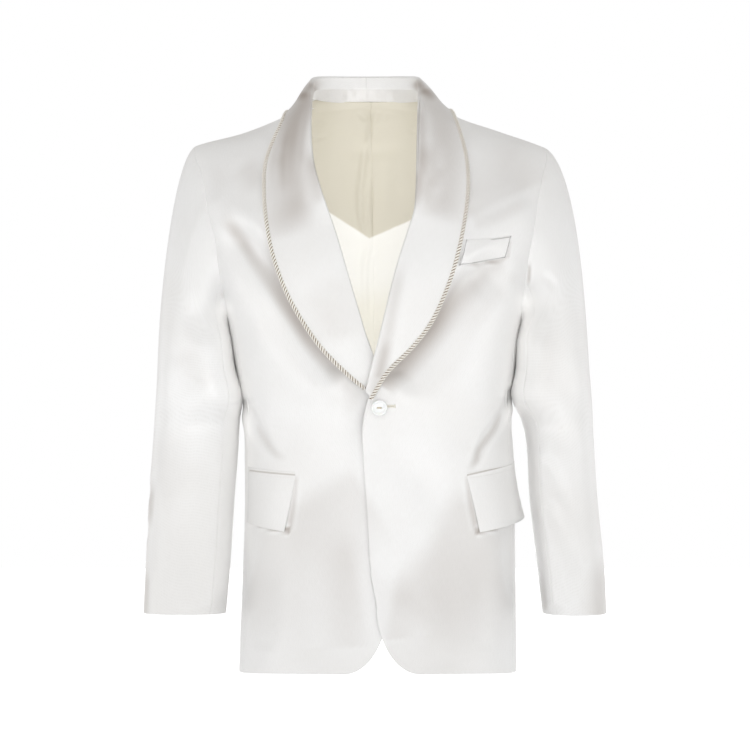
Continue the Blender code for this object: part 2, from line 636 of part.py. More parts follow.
def new_material(name, colour, roughness):
    material = bpy.data.materials.new(name)
    material.use_nodes = True
    shader = material.node_tree.nodes["Principled BSDF"]
    shader.inputs["Base Color"].default_value = (*colour, 1.0)
    shader.inputs["Roughness"].default_value = roughness
    shader.inputs["Metallic"].default_value = 0.0
    return material


def add_object(name, data, material):
    data.materials.append(material)
    piece = bpy.data.objects.new(name, data)
    collection.objects.link(piece)
    return piece


def add_sheet(name, grid, wall, colour, roughness):
    """Panel of cloth: an open grid of points, thickened evenly to both sides."""
    count_rows, count_columns = grid.shape[:2]
    faces = []
    for i in range(count_rows - 1):
        for j in range(count_columns - 1):
            first = i * count_columns + j
            faces.append((first, first + 1, first + count_columns + 1, first + count_columns))
    mesh = bpy.data.meshes.new(name)
    mesh.from_pydata(grid.reshape(-1, 3).tolist(), [], faces)
    mesh.shade_smooth()
    piece = add_object(name, mesh, new_material(name, colour, roughness))
    shell = piece.modifiers.new("wall", "SOLIDIFY")
    shell.thickness = wall
    shell.offset = 0.0
    return piece


def add_tube(name, points, radius, colour, roughness):
    """Round cord along a list of points, closed at both ends."""
    curve = bpy.data.curves.new(name, "CURVE")
    curve.dimensions = "3D"
    curve.bevel_depth = radius
    curve.bevel_resolution = 2
    curve.use_fill_caps = True
    spline = curve.splines.new("POLY")
    spline.points.add(len(points) - 1)
    for target, point in zip(spline.points, points):
        target.co = (*point, 1.0)
    return add_object(name, curve, new_material(name, colour, roughness))


def button_frame():
    """Middle of the button's back and the direction it faces."""
    centre = on_body(BUTTON_X, BUTTON_Z, -1, BUTTON_LIFT)
    return centre, body_normal(BUTTON_X, BUTTON_Z, -1)


def point_axis(piece, centre, normal):
    """Stand a piece that is made along +Z at a point of the cloth."""
    piece.rotation_mode = "QUATERNION"
    piece.rotation_quaternion = Vector(normal).to_track_quat("Z", "Y")
    piece.location = centre


def make_button(colour, roughness):
    """Turned disc with a raised rim and two holes for the thread."""
    mesh = bpy.data.meshes.new("button")
    points = [(out * BUTTON_RADIUS, 0.0, up * BUTTON_THICKNESS) for out, up in BUTTON_PROFILE]
    mesh.from_pydata(points, [(i, i + 1) for i in range(len(points) - 1)], [])
    piece = add_object("button", mesh, new_material("button", colour, roughness))
    turn = piece.modifiers.new("turn", "SCREW")
    turn.steps = 20
    turn.render_steps = 20
    turn.use_merge_vertices = True
    turn.merge_threshold = 0.00001
    holes = bmesh.new()
    for side in (-1, 1):
        made = bmesh.ops.create_cone(holes, cap_ends=True, segments=10, radius1=BUTTON_HOLE,
                                     radius2=BUTTON_HOLE, depth=BUTTON_THICKNESS * 4)
        bmesh.ops.translate(holes, verts=made["verts"],
                            vec=(side * BUTTON_HOLE_SPACING / 2, 0.0, 0.0))
    cutter_mesh = bpy.data.meshes.new("button_hole_cutter")
    holes.to_mesh(cutter_mesh)
    holes.free()
    cutter = bpy.data.objects.new("button_hole_cutter", cutter_mesh)
    cutter.hide_render = True
    cutter.display_type = "WIRE"
    cutters.objects.link(cutter)
    cut = piece.modifiers.new("holes", "BOOLEAN")
    cut.object = cutter
    cut.operation = "DIFFERENCE"
    centre, normal = button_frame()
    point_axis(piece, centre, normal)
    point_axis(cutter, centre, normal)


def make_thread(colour, roughness):
    """Thread that comes out of the cloth, through one hole and back through the other."""
    centre, normal = button_frame()
    sideways = np.cross((0.0, 0.0, 1.0), normal)
    sideways /= np.linalg.norm(sideways)
    half = BUTTON_HOLE_SPACING / 2
    low = -(BUTTON_LIFT - WALL / 2) + 2 * SEAM
    high = BUTTON_THICKNESS * BUTTON_DISH + THREAD_RADIUS + SEAM
    bend = high - THREAD_RADIUS
    path = ((-half * 0.9, low), (-half, 0.0), (-half, bend), (-half * 0.6, high),
            (half * 0.6, high), (half, bend), (half, 0.0), (half * 0.9, low))
    points = [centre + sideways * across + normal * out for across, out in path]
    add_tube("button_thread", points, THREAD_RADIUS, colour, roughness)


def make_buttonhole(colour, roughness):
    """Stitched bar of the buttonhole, lying on the left front and half under the button."""
    lift = WALL / 2 + SEAM + BUTTONHOLE_WALL / 2
    columns = np.linspace(*BUTTONHOLE_X, 5)
    sides = (BUTTONHOLE_Z - BUTTONHOLE_WIDTH / 2, BUTTONHOLE_Z + BUTTONHOLE_WIDTH / 2)
    grid = np.array([[on_body(x, z, -1, lift + SEAM) for x in columns] for z in sides])
    add_sheet("buttonhole", grid, BUTTONHOLE_WALL, colour, roughness)


def make_shell(satin, satin_roughness):
    """Body panels and sleeves."""
    for name, hand in SIDES.items():
        front = front_grid(hand)
        back = back_grid(hand)
        side_panel = side_grid(hand, front[:BODY_ROWS + 1, -1], back[:BODY_ROWS + 1, -1])
        half_seam = SEAM / 2
        add_sheet(f"front_{name}", pull_in(front, half_seam, last_row=True, last_column=True),
                  WALL, satin, satin_roughness)
        add_sheet(f"back_{name}",
                  pull_in(back, half_seam, last_row=True, first_column=True, last_column=True),
                  WALL, satin, satin_roughness)
        add_sheet(f"side_panel_{name}",
                  pull_in(side_panel, half_seam, first_column=True, last_column=True),
                  WALL, satin, satin_roughness)
        loop = armhole_loop(front, side_panel, back)
        for part, start, end, shares in (
                ("top", -BACK_SLEEVE_SEAM, FRONT_SLEEVE_SEAM, TOP_SLEEVE_SHARES),
                ("under", FRONT_SLEEVE_SEAM, 360 - BACK_SLEEVE_SEAM, UNDER_SLEEVE_SHARES)):
            grid = sleeve_grid(hand, loop, start, end, shares)
            add_sheet(f"{part}_sleeve_{name}",
                      pull_in(grid, half_seam, first_column=True, last_column=True),
                      WALL, satin, satin_roughness)


def make_collar(satin, satin_roughness, cord, cord_roughness, lining, lining_roughness):
    collars, ropes = {}, {}
    for name, hand in SIDES.items():
        sections, rope = collar_sections(hand)
        collars[name], ropes[name] = sections, rope
        add_sheet(f"shawl_collar_{name}", pull_in(sections, SEAM / 2, last_row=True),
                  WALL, satin, satin_roughness)
    path = np.concatenate((ropes["right"], ropes["left"][:-1][::-1]))
    add_tube("rope_trim", path, ROPE_RADIUS, cord, cord_roughness)
    add_sheet("neck_band", band_grid(collars), WALL, satin, satin_roughness)
    for name, hand in SIDES.items():
        grid = back_grid(hand, -LINING_INSIDE)
        grid = pull_in(grid[:, LINING_COLUMNS], LINING_SHORT, first_row=True, last_column=True)
        grid = pull_in(grid, SEAM / 2, first_column=True)
        add_sheet(f"back_lining_{name}", grid, LINING_WALL, lining, lining_roughness)


def make_pockets(satin, satin_roughness):
    for name, hand in SIDES.items():
        jet = pocket_grid(hand, 0, 1, POCKET_LIFT, columns=6, rows=1)
        add_sheet(f"pocket_jet_{name}", jet, WALL, satin, satin_roughness)
        flap = pocket_grid(hand, 1, 2, POCKET_LIFT, columns=6, rows=3, spread=True)
        add_sheet(f"pocket_flap_{name}", pull_in(flap, SEAM, first_row=True),
                  WALL, satin, satin_roughness)
    add_sheet("breast_welt", welt_grid(columns=4, rows=2), WALL, satin, satin_roughness)


for old in list(bpy.data.objects):
    bpy.data.objects.remove(old, do_unlink=True)
collection = bpy.data.collections.new(OBJECT_NAME)
cutters = bpy.data.collections.new("cutters")
bpy.context.scene.collection.children.link(collection)
bpy.context.scene.collection.children.link(cutters)

make_shell((0.86, 0.85, 0.83), 0.42)
make_collar((0.88, 0.87, 0.85), 0.36, (0.66, 0.62, 0.54), 0.6, (0.82, 0.78, 0.68), 0.45)
make_pockets((0.86, 0.85, 0.83), 0.42)
make_button((0.90, 0.89, 0.86), 0.2)
make_thread((0.62, 0.56, 0.46), 0.7)
make_buttonhole((0.80, 0.78, 0.73), 0.6)
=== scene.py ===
import math

import bmesh
import bpy
import numpy as np
from mathutils import Matrix, Vector


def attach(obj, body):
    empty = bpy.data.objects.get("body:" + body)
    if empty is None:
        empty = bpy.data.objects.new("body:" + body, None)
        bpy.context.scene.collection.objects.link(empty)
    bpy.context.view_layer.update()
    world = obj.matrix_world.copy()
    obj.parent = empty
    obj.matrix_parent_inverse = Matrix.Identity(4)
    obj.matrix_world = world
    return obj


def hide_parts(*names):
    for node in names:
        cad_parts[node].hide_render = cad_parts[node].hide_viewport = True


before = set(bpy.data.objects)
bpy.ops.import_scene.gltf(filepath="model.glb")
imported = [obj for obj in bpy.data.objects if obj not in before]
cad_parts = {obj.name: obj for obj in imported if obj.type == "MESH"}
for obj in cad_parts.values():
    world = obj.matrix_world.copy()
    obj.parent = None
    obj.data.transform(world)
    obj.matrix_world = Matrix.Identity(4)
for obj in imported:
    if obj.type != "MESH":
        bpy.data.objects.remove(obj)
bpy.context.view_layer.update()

scene = bpy.context.scene
jacket = bpy.data.collections.new("jacket")
scene.collection.children.link(jacket)


# camera: level with the waist, a long lens
cameraSettings = dict(place=(0.0026, -3.5, -0.337), lens=129.23, sensor=36.0)


def addCamera(settings):
    data = bpy.data.cameras.new("camera")
    data.lens = settings["lens"]
    data.sensor_width = settings["sensor"]
    camera = bpy.data.objects.new("camera", data)
    camera.location = settings["place"]
    camera.rotation_euler = (math.radians(90), 0.0, 0.0)
    scene.collection.objects.link(camera)
    scene.camera = camera


addCamera(cameraSettings)
print("camera in place")


# form of the body, sleeves and collar
cloth = dict(wall=0.0016, liningWall=0.0010, trimWall=0.0007, seam=-0.0003, layer=0.0016)

# height, half width, depth in front, depth at the back, sideways lean
bodySections = (
    (-0.727, 0.1793, 0.128, 0.120, 0.0060),
    (-0.600, 0.1760, 0.126, 0.120, 0.0080),
    (-0.460, 0.1742, 0.120, 0.108, 0.0085),
    (-0.375, 0.1742, 0.120, 0.100, 0.0050),
    (-0.330, 0.1805, 0.124, 0.106, 0.0032),
    (-0.278, 0.1885, 0.130, 0.114, 0.0015),
    (-0.200, 0.2120, 0.132, 0.120, 0.0010),
    (-0.140, 0.2280, 0.130, 0.122, 0.0000),
    (-0.080, 0.2380, 0.126, 0.120, -0.0010),
    (0.060, 0.2460, 0.120, 0.116, -0.0050),
)
body = dict(
    roundness=2.35, chest=-0.240, frontClose=2.1, backClose=2.6, shoulderY=0.004,
    neckPoint=0.084, backNeck=0.022, underarm=-0.278, sideSeam=0.962,
    hemFront=-0.7125, hemFrontDrop=0.0078, hemBack=-0.688, hemBackDrop=0.034,
    quarterRise=0.0925, quarterWidth=0.0565, foldInset=0.0075, cornerBlend=0.11, shoulderFrom=0.8,
)
# distance from the middle, height on the wearer's left, height on the right
shoulderRidge = ((0.0, 0.058, 0.058), (0.05, 0.043, 0.043), (0.08, 0.0145, 0.0145),
                 (0.115, -0.0038, -0.0035), (0.16, -0.0192, -0.0218),
                 (0.2275, -0.0428, -0.0402), (0.27, -0.062, -0.058))
# height, how far out from the middle
armholeEdge = ((-0.240, 0.1925), (-0.190, 0.1985), (-0.150, 0.2045), (-0.114, 0.2115),
               (-0.077, 0.2195), (-0.040, 0.2275))
# height, x of the left front's edge, x of the right front's edge
frontEdge = ((-0.620, 0.0035, 0.0195), (-0.566, -0.0040, 0.0250), (-0.513, -0.0070, 0.0275),
             (-0.442, -0.0120, 0.0290), (-0.400, -0.0130, 0.0270), (-0.374, -0.0080, 0.0190),
             (-0.350, 0.0015, 0.0040))
neckEdge = ((-0.064, 0.0670, -0.0865), (-0.030, 0.0710, -0.0880), (0.012, 0.0800, -0.0880))
# the right front runs inside the left one
tuckIn = dict(start=-0.048, full=-0.006, below=0.0028, atCollar=0.0086, low=-0.440, high=-0.375)

# fold x, fold y, fold z, rope x, rope z, side, turn-in, stand
collarRight = (
    (0.0125, None, -0.352, -0.0100, -0.3545, -1, 0.001, 0.0),
    (0.0010, None, -0.321, -0.0300, -0.3375, -1, 0.004, 0.0),
    (-0.0110, None, -0.288, -0.0610, -0.3055, -1, 0.006, 0.0),
    (-0.0220, None, -0.250, -0.0850, -0.2720, -1, 0.006, 0.0),
    (-0.0340, None, -0.208, -0.1070, -0.2325, -1, 0.006, 0.0),
    (-0.0460, None, -0.166, -0.1240, -0.1860, -1, 0.006, 0.0),
    (-0.0580, None, -0.130, -0.1330, -0.1400, -1, 0.006, 0.0),
    (-0.0680, None, -0.100, -0.1360, -0.1000, -1, 0.006, 0.0),
    (-0.0765, -0.094, -0.068, -0.1345, -0.0700, -1, 0.007, 0.2),
    (-0.0805, -0.074, -0.032, -0.1260, -0.0430, -1, 0.009, 0.5),
    (-0.0805, -0.046, 0.006, -0.1155, -0.0180, -1, 0.011, 0.8),
    (-0.0805, -0.014, 0.034, -0.1105, None, 0, 0.012, 1.0),
    (-0.0770, 0.022, 0.0492, -0.1040, -0.0060, 1, 0.013, 1.0),
    (-0.0600, 0.048, 0.054, -0.0850, -0.0010, 1, 0.014, 1.0),
    (-0.0350, 0.063, 0.0555, -0.0500, 0.0030, 1, 0.014, 1.0),
    (-0.0090, 0.068, 0.056, -0.0090, 0.0050, 1, 0.014, 1.0),
)
collarLeft = (
    (-0.0075, None, -0.358, -0.0025, -0.3665, -1, 0.001, 0.0),
    (0.0015, None, -0.321, 0.0180, -0.3330, -1, 0.004, 0.0),
    (0.0100, None, -0.288, 0.0500, -0.3000, -1, 0.006, 0.0),
    (0.0190, None, -0.250, 0.0740, -0.2670, -1, 0.006, 0.0),
    (0.0300, None, -0.206, 0.0950, -0.2190, -1, 0.006, 0.0),
    (0.0430, None, -0.164, 0.1080, -0.1730, -1, 0.006, 0.0),
    (0.0535, None, -0.130, 0.1160, -0.1290, -1, 0.006, 0.0),
    (0.0560, None, -0.100, 0.1190, -0.0950, -1, 0.006, 0.0),
    (0.0570, -0.096, -0.068, 0.1175, -0.0660, -1, 0.007, 0.2),
    (0.0580, -0.076, -0.032, 0.1125, -0.0410, -1, 0.009, 0.5),
    (0.0595, -0.046, 0.006, 0.1050, -0.0160, -1, 0.011, 0.8),
    (0.0610, -0.014, 0.034, 0.1000, None, 0, 0.012, 1.0),
    (0.0590, 0.022, 0.0492, 0.0935, -0.0040, 1, 0.013, 1.0),
    (0.0430, 0.048, 0.054, 0.0720, 0.0010, 1, 0.014, 1.0),
    (0.0180, 0.063, 0.0555, 0.0330, 0.0040, 1, 0.014, 1.0),
    (-0.0090, 0.068, 0.056, -0.0090, 0.0050, 1, 0.014, 1.0),
)
collar = dict(stations=210, crown=0.006, crownFade=0.65, crownFullAt=0.070, lift=0.0027,
              foldRadius=0.0027, foldRoll=0.0016, ropeGap=-0.0011, paintedShadeMiddle=0.035,
              settleStations=6, neckFrom=-0.080)
rope = dict(radius=0.003, lift=0.0054, strands=3, pitch=0.0126, strandRadius=0.00142,
            step=0.0011, around=8, smoothings=12)

# height, middle x, half width, middle y, half depth
sleeveRight = (
    (-0.6425, -0.2420, 0.0522, -0.038, 0.036),
    (-0.590, -0.2388, 0.0535, -0.030, 0.039),
    (-0.500, -0.2344, 0.0546, -0.018, 0.043),
    (-0.410, -0.2288, 0.0546, -0.008, 0.049),
    (-0.365, -0.2270, 0.0535, -0.004, 0.058),
    (-0.330, -0.2315, 0.0475, -0.001, 0.063),
    (-0.300, -0.2330, 0.0450, 0.002, 0.066),
)
sleeveLeft = (
    (-0.6425, 0.2590, 0.0400, -0.038, 0.048),
    (-0.590, 0.2553, 0.0420, -0.030, 0.050),
    (-0.500, 0.2464, 0.0432, -0.018, 0.052),
    (-0.410, 0.2408, 0.0438, -0.008, 0.056),
    (-0.365, 0.2340, 0.0487, -0.004, 0.062),
    (-0.330, 0.2360, 0.0440, -0.001, 0.067),
    (-0.300, 0.2355, 0.0427, 0.002, 0.070),
)
sleeve = dict(roundness=2.2, headReachLeft=0.138, headReachRight=0.098, underarmReach=0.02,
              headFall=0.20, headSlope=0.62, frontSeam=128.0, backSeam=118.0,
              armholeGap=0.0001, underarmGap=0.0004, foldRadius=0.05, foldFade=0.08,
              paintedShadeMiddle=0.01)


def blendRuns(t, start, startRun, end, endRun):
    # from start to end, leaving and arriving along the given runs
    return ((2 * t**3 - 3 * t**2 + 1) * start + (t**3 - 2 * t**2 + t) * startRun
            + (3 * t**2 - 2 * t**3) * end + (t**3 - t**2) * endRun)


def tableCurve(rows, at, column):
    # a smooth curve through one column of a table, whose first column is where each row lies
    keys = np.array([row[0] for row in rows], float)
    values = np.array([row[column] for row in rows], float)
    slopes = np.gradient(values, keys)
    at = np.clip(at, keys[0], keys[-1])
    i = np.clip(np.searchsorted(keys, at) - 1, 0, len(keys) - 2)
    step = keys[i + 1] - keys[i]
    return blendRuns((at - keys[i]) / step, values[i], step * slopes[i], values[i + 1], step * slopes[i + 1])


def smoothStep(t):
    t = np.clip(t, 0.0, 1.0)
    return t * t * (3 - 2 * t)


def unit(vectors):
    return vectors / np.maximum(np.linalg.norm(vectors, axis=-1, keepdims=True), 1e-12)


def lengthsAlong(line):
    # how far along a line each of its points lies
    return np.concatenate(((0.0,), np.cumsum(np.linalg.norm(np.diff(line, axis=0), axis=1))))


def lean(z):
    return tableCurve(bodySections, z, 4)


def halfWidth(z):
    return tableCurve(bodySections, z, 1)


def bodyDepth(z, ahead):
    return np.where(ahead, tableCurve(bodySections, z, 2), tableCurve(bodySections, z, 3))


def frontHem(share):
    return body["hemFront"] - body["hemFrontDrop"] * share**4


def backHem(share):
    return body["hemBack"] - body["hemBackDrop"] * share**3


def ridgeZ(x):
    # height of the shoulders' ridge
    fromMiddle = x - lean(0.0)
    return np.where(fromMiddle > 0, tableCurve(shoulderRidge, np.abs(fromMiddle), 1),
                    tableCurve(shoulderRidge, np.abs(fromMiddle), 2))


def uprightY(x, z, side, grow=0.0):
    # the body's section at one height, before it closes over the shoulders
    share = np.clip(np.abs(x - lean(z)) / (halfWidth(z) + grow), 0.0, 0.9995)
    depth = bodyDepth(z, side < 0) + grow
    return side * depth * (1 - share**body["roundness"]) ** (1 / body["roundness"])


def bodyY(x, z, side, grow=0.0):
    y = uprightY(x, z, side, grow)
    rise = np.clip((z - body["chest"]) / (ridgeZ(x) + grow - body["chest"]), 0.0, 1.0)
    power = np.where(side < 0, body["frontClose"], body["backClose"])
    openShare = (1 - rise**power) ** (1 / power)
    return y * openShare + body["shoulderY"] * (1 - openShare)


def bodyZ(x, y, side, grow=0.0):
    power = np.where(side < 0, body["frontClose"], body["backClose"])
    top = ridgeZ(x) + grow
    z = top
    for _ in range(3):
        openShare = (y - body["shoulderY"]) / (uprightY(x, z, side, grow) - body["shoulderY"])
        z = body["chest"] + (top - body["chest"]) * (1 - np.clip(openShare, 0, 1) ** power) ** (1 / power)
    return z


def bodyNormal(x, z, side):
    step = 0.0015
    slopeX = (bodyY(x + step, z, side) - bodyY(x - step, z, side)) / (2 * step)
    slopeZ = (bodyY(x, z, side) - bodyY(x, z - 2 * step, side)) / (2 * step)
    return unit(np.stack((-slopeX * side, side * np.ones_like(slopeX), -slopeZ * side), axis=-1))


def onBody(x, z, side, lift=0.0):
    # points on the body's front, side -1, or its back, side 1
    x, z = np.broadcast_arrays(np.asarray(x, float), np.asarray(z, float))
    point = np.stack((x, bodyY(x, z, side), z), axis=-1)
    return point + bodyNormal(x, z, side) * np.asarray(lift)[..., None]


def onRing(angle, z, hand, lift=0.0):
    # points on the body's side, by degrees from straight sideways, towards the front below 0
    def flat(degrees):
        cos, sin = np.cos(np.radians(degrees)), np.sin(np.radians(degrees))
        power = 2 / body["roundness"]
        return np.stack((lean(z) + hand * halfWidth(z) * np.abs(cos) ** power,
                         bodyDepth(z, sin < 0) * np.sign(sin) * np.abs(sin) ** power, z), axis=-1)
    tangent = flat(angle + 1.5) - flat(angle - 1.5)
    normal = np.stack((hand * tangent[..., 1], -hand * tangent[..., 0], 0 * tangent[..., 0]), axis=-1)
    return flat(angle) + unit(normal) * np.asarray(lift)[..., None]


def tuck(x, z, hand):
    # how far inside the left front the right one runs
    if hand > 0:
        return 0.0 * x
    t = tuckIn
    depth = t["below"] + (t["atCollar"] - t["below"]) * smoothStep((z - t["low"]) / (t["high"] - t["low"]))
    return depth * smoothStep((x - t["start"]) / (t["full"] - t["start"]))


def seamAngle(share):
    return math.degrees(math.acos(share ** (body["roundness"] / 2)))


def spread(count, length, edge=0.0017):
    # even shares of a length, with one more close beside each end, where the cloth's edge rounds over
    share = edge / length
    return np.concatenate(((0.0, share), np.linspace(0.0, 1.0, count)[1:-1], (1 - share, 1.0)))


def softLine(width, depth, start, end, *points, upper=None, lobe=0.28):
    # a trough along a line: half its width and how far in it goes, in mm, the shares of its length over
    # which it starts and ends, and x and z of its points in mm; upper is half the width on the line's
    # left, and lobe is how much of the depth rises again on both sides
    return dict(points=[(a / 1000, b / 1000) for a, b in points], width=width / 1000,
                upper=(upper or width) / 1000, depth=depth / 1000, start=start, end=end, lobe=lobe)


def sleeveLine(*numbers, **others):
    # the same on a sleeve: a point is degrees from the outer side, forwards above 0, and z
    fold = softLine(*numbers, **others)
    return dict(fold, points=[(a * 1000, b) for a, b in fold["points"]])


def paintedShadeLine(*numbers, **others):
    # a band of painted shade, from -1 for painted light to 1 for the darkest painted shade, as seen from the
    # front
    fold = softLine(*numbers, **others)
    return dict(fold, depth=fold["depth"] * 1000)


bodyFolds = dict(
    front=(
        # long drags from the armholes to the button, along the rope
        softLine(24, 8.5, 0.16, 0.1, (-188.9, -135.5), (-160.1, -168), (-136.3, -196.8), (-115.1, -231.9),
                 (-96.3, -270.7), (-66.2, -308.2), (-33, -342), upper=14),
        softLine(13, 9.5, 0.12, 0.1, (170, -188), (134, -208.1), (111.5, -228.1), (94, -258.1),
                 (73.9, -285.7), (46.4, -315.7), (16.4, -348.3), upper=34),
        # the chest's crown, above which it slopes back to the shoulder
        softLine(28, -3.6, 0.2, 0.3, (-210.2, -99.2), (-181.4, -128), (-138.8, -150.5), (-110, -160)),
        softLine(36, -4.5, 0.2, 0.2, (90, -170), (111.5, -158), (159.1, -135.5), (206.6, -112.9)),
        # waist creases above the pockets
        softLine(6.2, 3.6, 0.1, 0.55, (-170, -362), (-157, -387), (-143, -411), (-129, -430), (-112, -452)),
        softLine(8, -1.5, 0.2, 0.4, (-172, -378), (-160, -402), (-148, -428), (-138, -452)),
        softLine(5, 4, 0.1, 0.3, (178, -347), (172, -372), (158, -396), (143, -416), (131, -440),
                 (121, -458)),
        softLine(8.5, -1.7, 0.2, 0.4, (180, -366), (166, -398), (152, -424), (144, -446)),
        # the skirts' soft fall
        softLine(20, 2, 0.5, 0.5, (20, -395), (50, -440), (80, -500), (110, -570)),
        softLine(22, 1.8, 0.5, 0.5, (-20, -410), (-60, -455), (-90, -520), (-105, -600)),
        softLine(17, 2.2, 0.4, 0.1, (130, -545), (136, -610), (138, -690)),
        softLine(18, 2, 0.4, 0.1, (-128, -548), (-136, -610), (-138, -690)),
        softLine(22, -1.8, 0.6, 0.1, (60, -600), (75, -650), (82, -710)),
        # small creases beside the collar and at the armholes
        softLine(6, 1.6, 0.4, 0.3, (-150, -10), (-140, -22), (-126, -30)),
        softLine(10, 1.6, 0.4, 0.4, (-196, -175), (-190, -240), (-180, -310)),
        softLine(10, 1.6, 0.4, 0.4, (197, -165), (190, -235), (181, -315)),
    ),
    back=(
        softLine(13, 4.2, 0.3, 0.5, (-190, -120), (-165, -170), (-150, -235), (-146, -300)),
        softLine(14, 4, 0.3, 0.5, (192, -112), (170, -165), (152, -225), (150, -290)),
        softLine(7, 1.8, 0.4, 0.6, (-150, -390), (-100, -378), (-50, -384), (-12, -398)),
        softLine(7.5, 1.9, 0.4, 0.6, (155, -384), (108, -372), (56, -380), (22, -392)),
        softLine(18, 2.2, 0.5, 0.5, (-95, -420), (-60, -480), (-40, -560)),
        softLine(18, 2.2, 0.5, 0.5, (100, -415), (70, -480), (58, -570)),
        softLine(8, 1.6, 0.5, 0.5, (-55, -30), (0, -40), (55, -28)),
        softLine(20, 2.6, 0.5, 0.1, (-120, -560), (-128, -620), (-132, -700)),
        softLine(20, 2.6, 0.5, 0.1, (118, -550), (126, -620), (130, -700)),
    ),
)
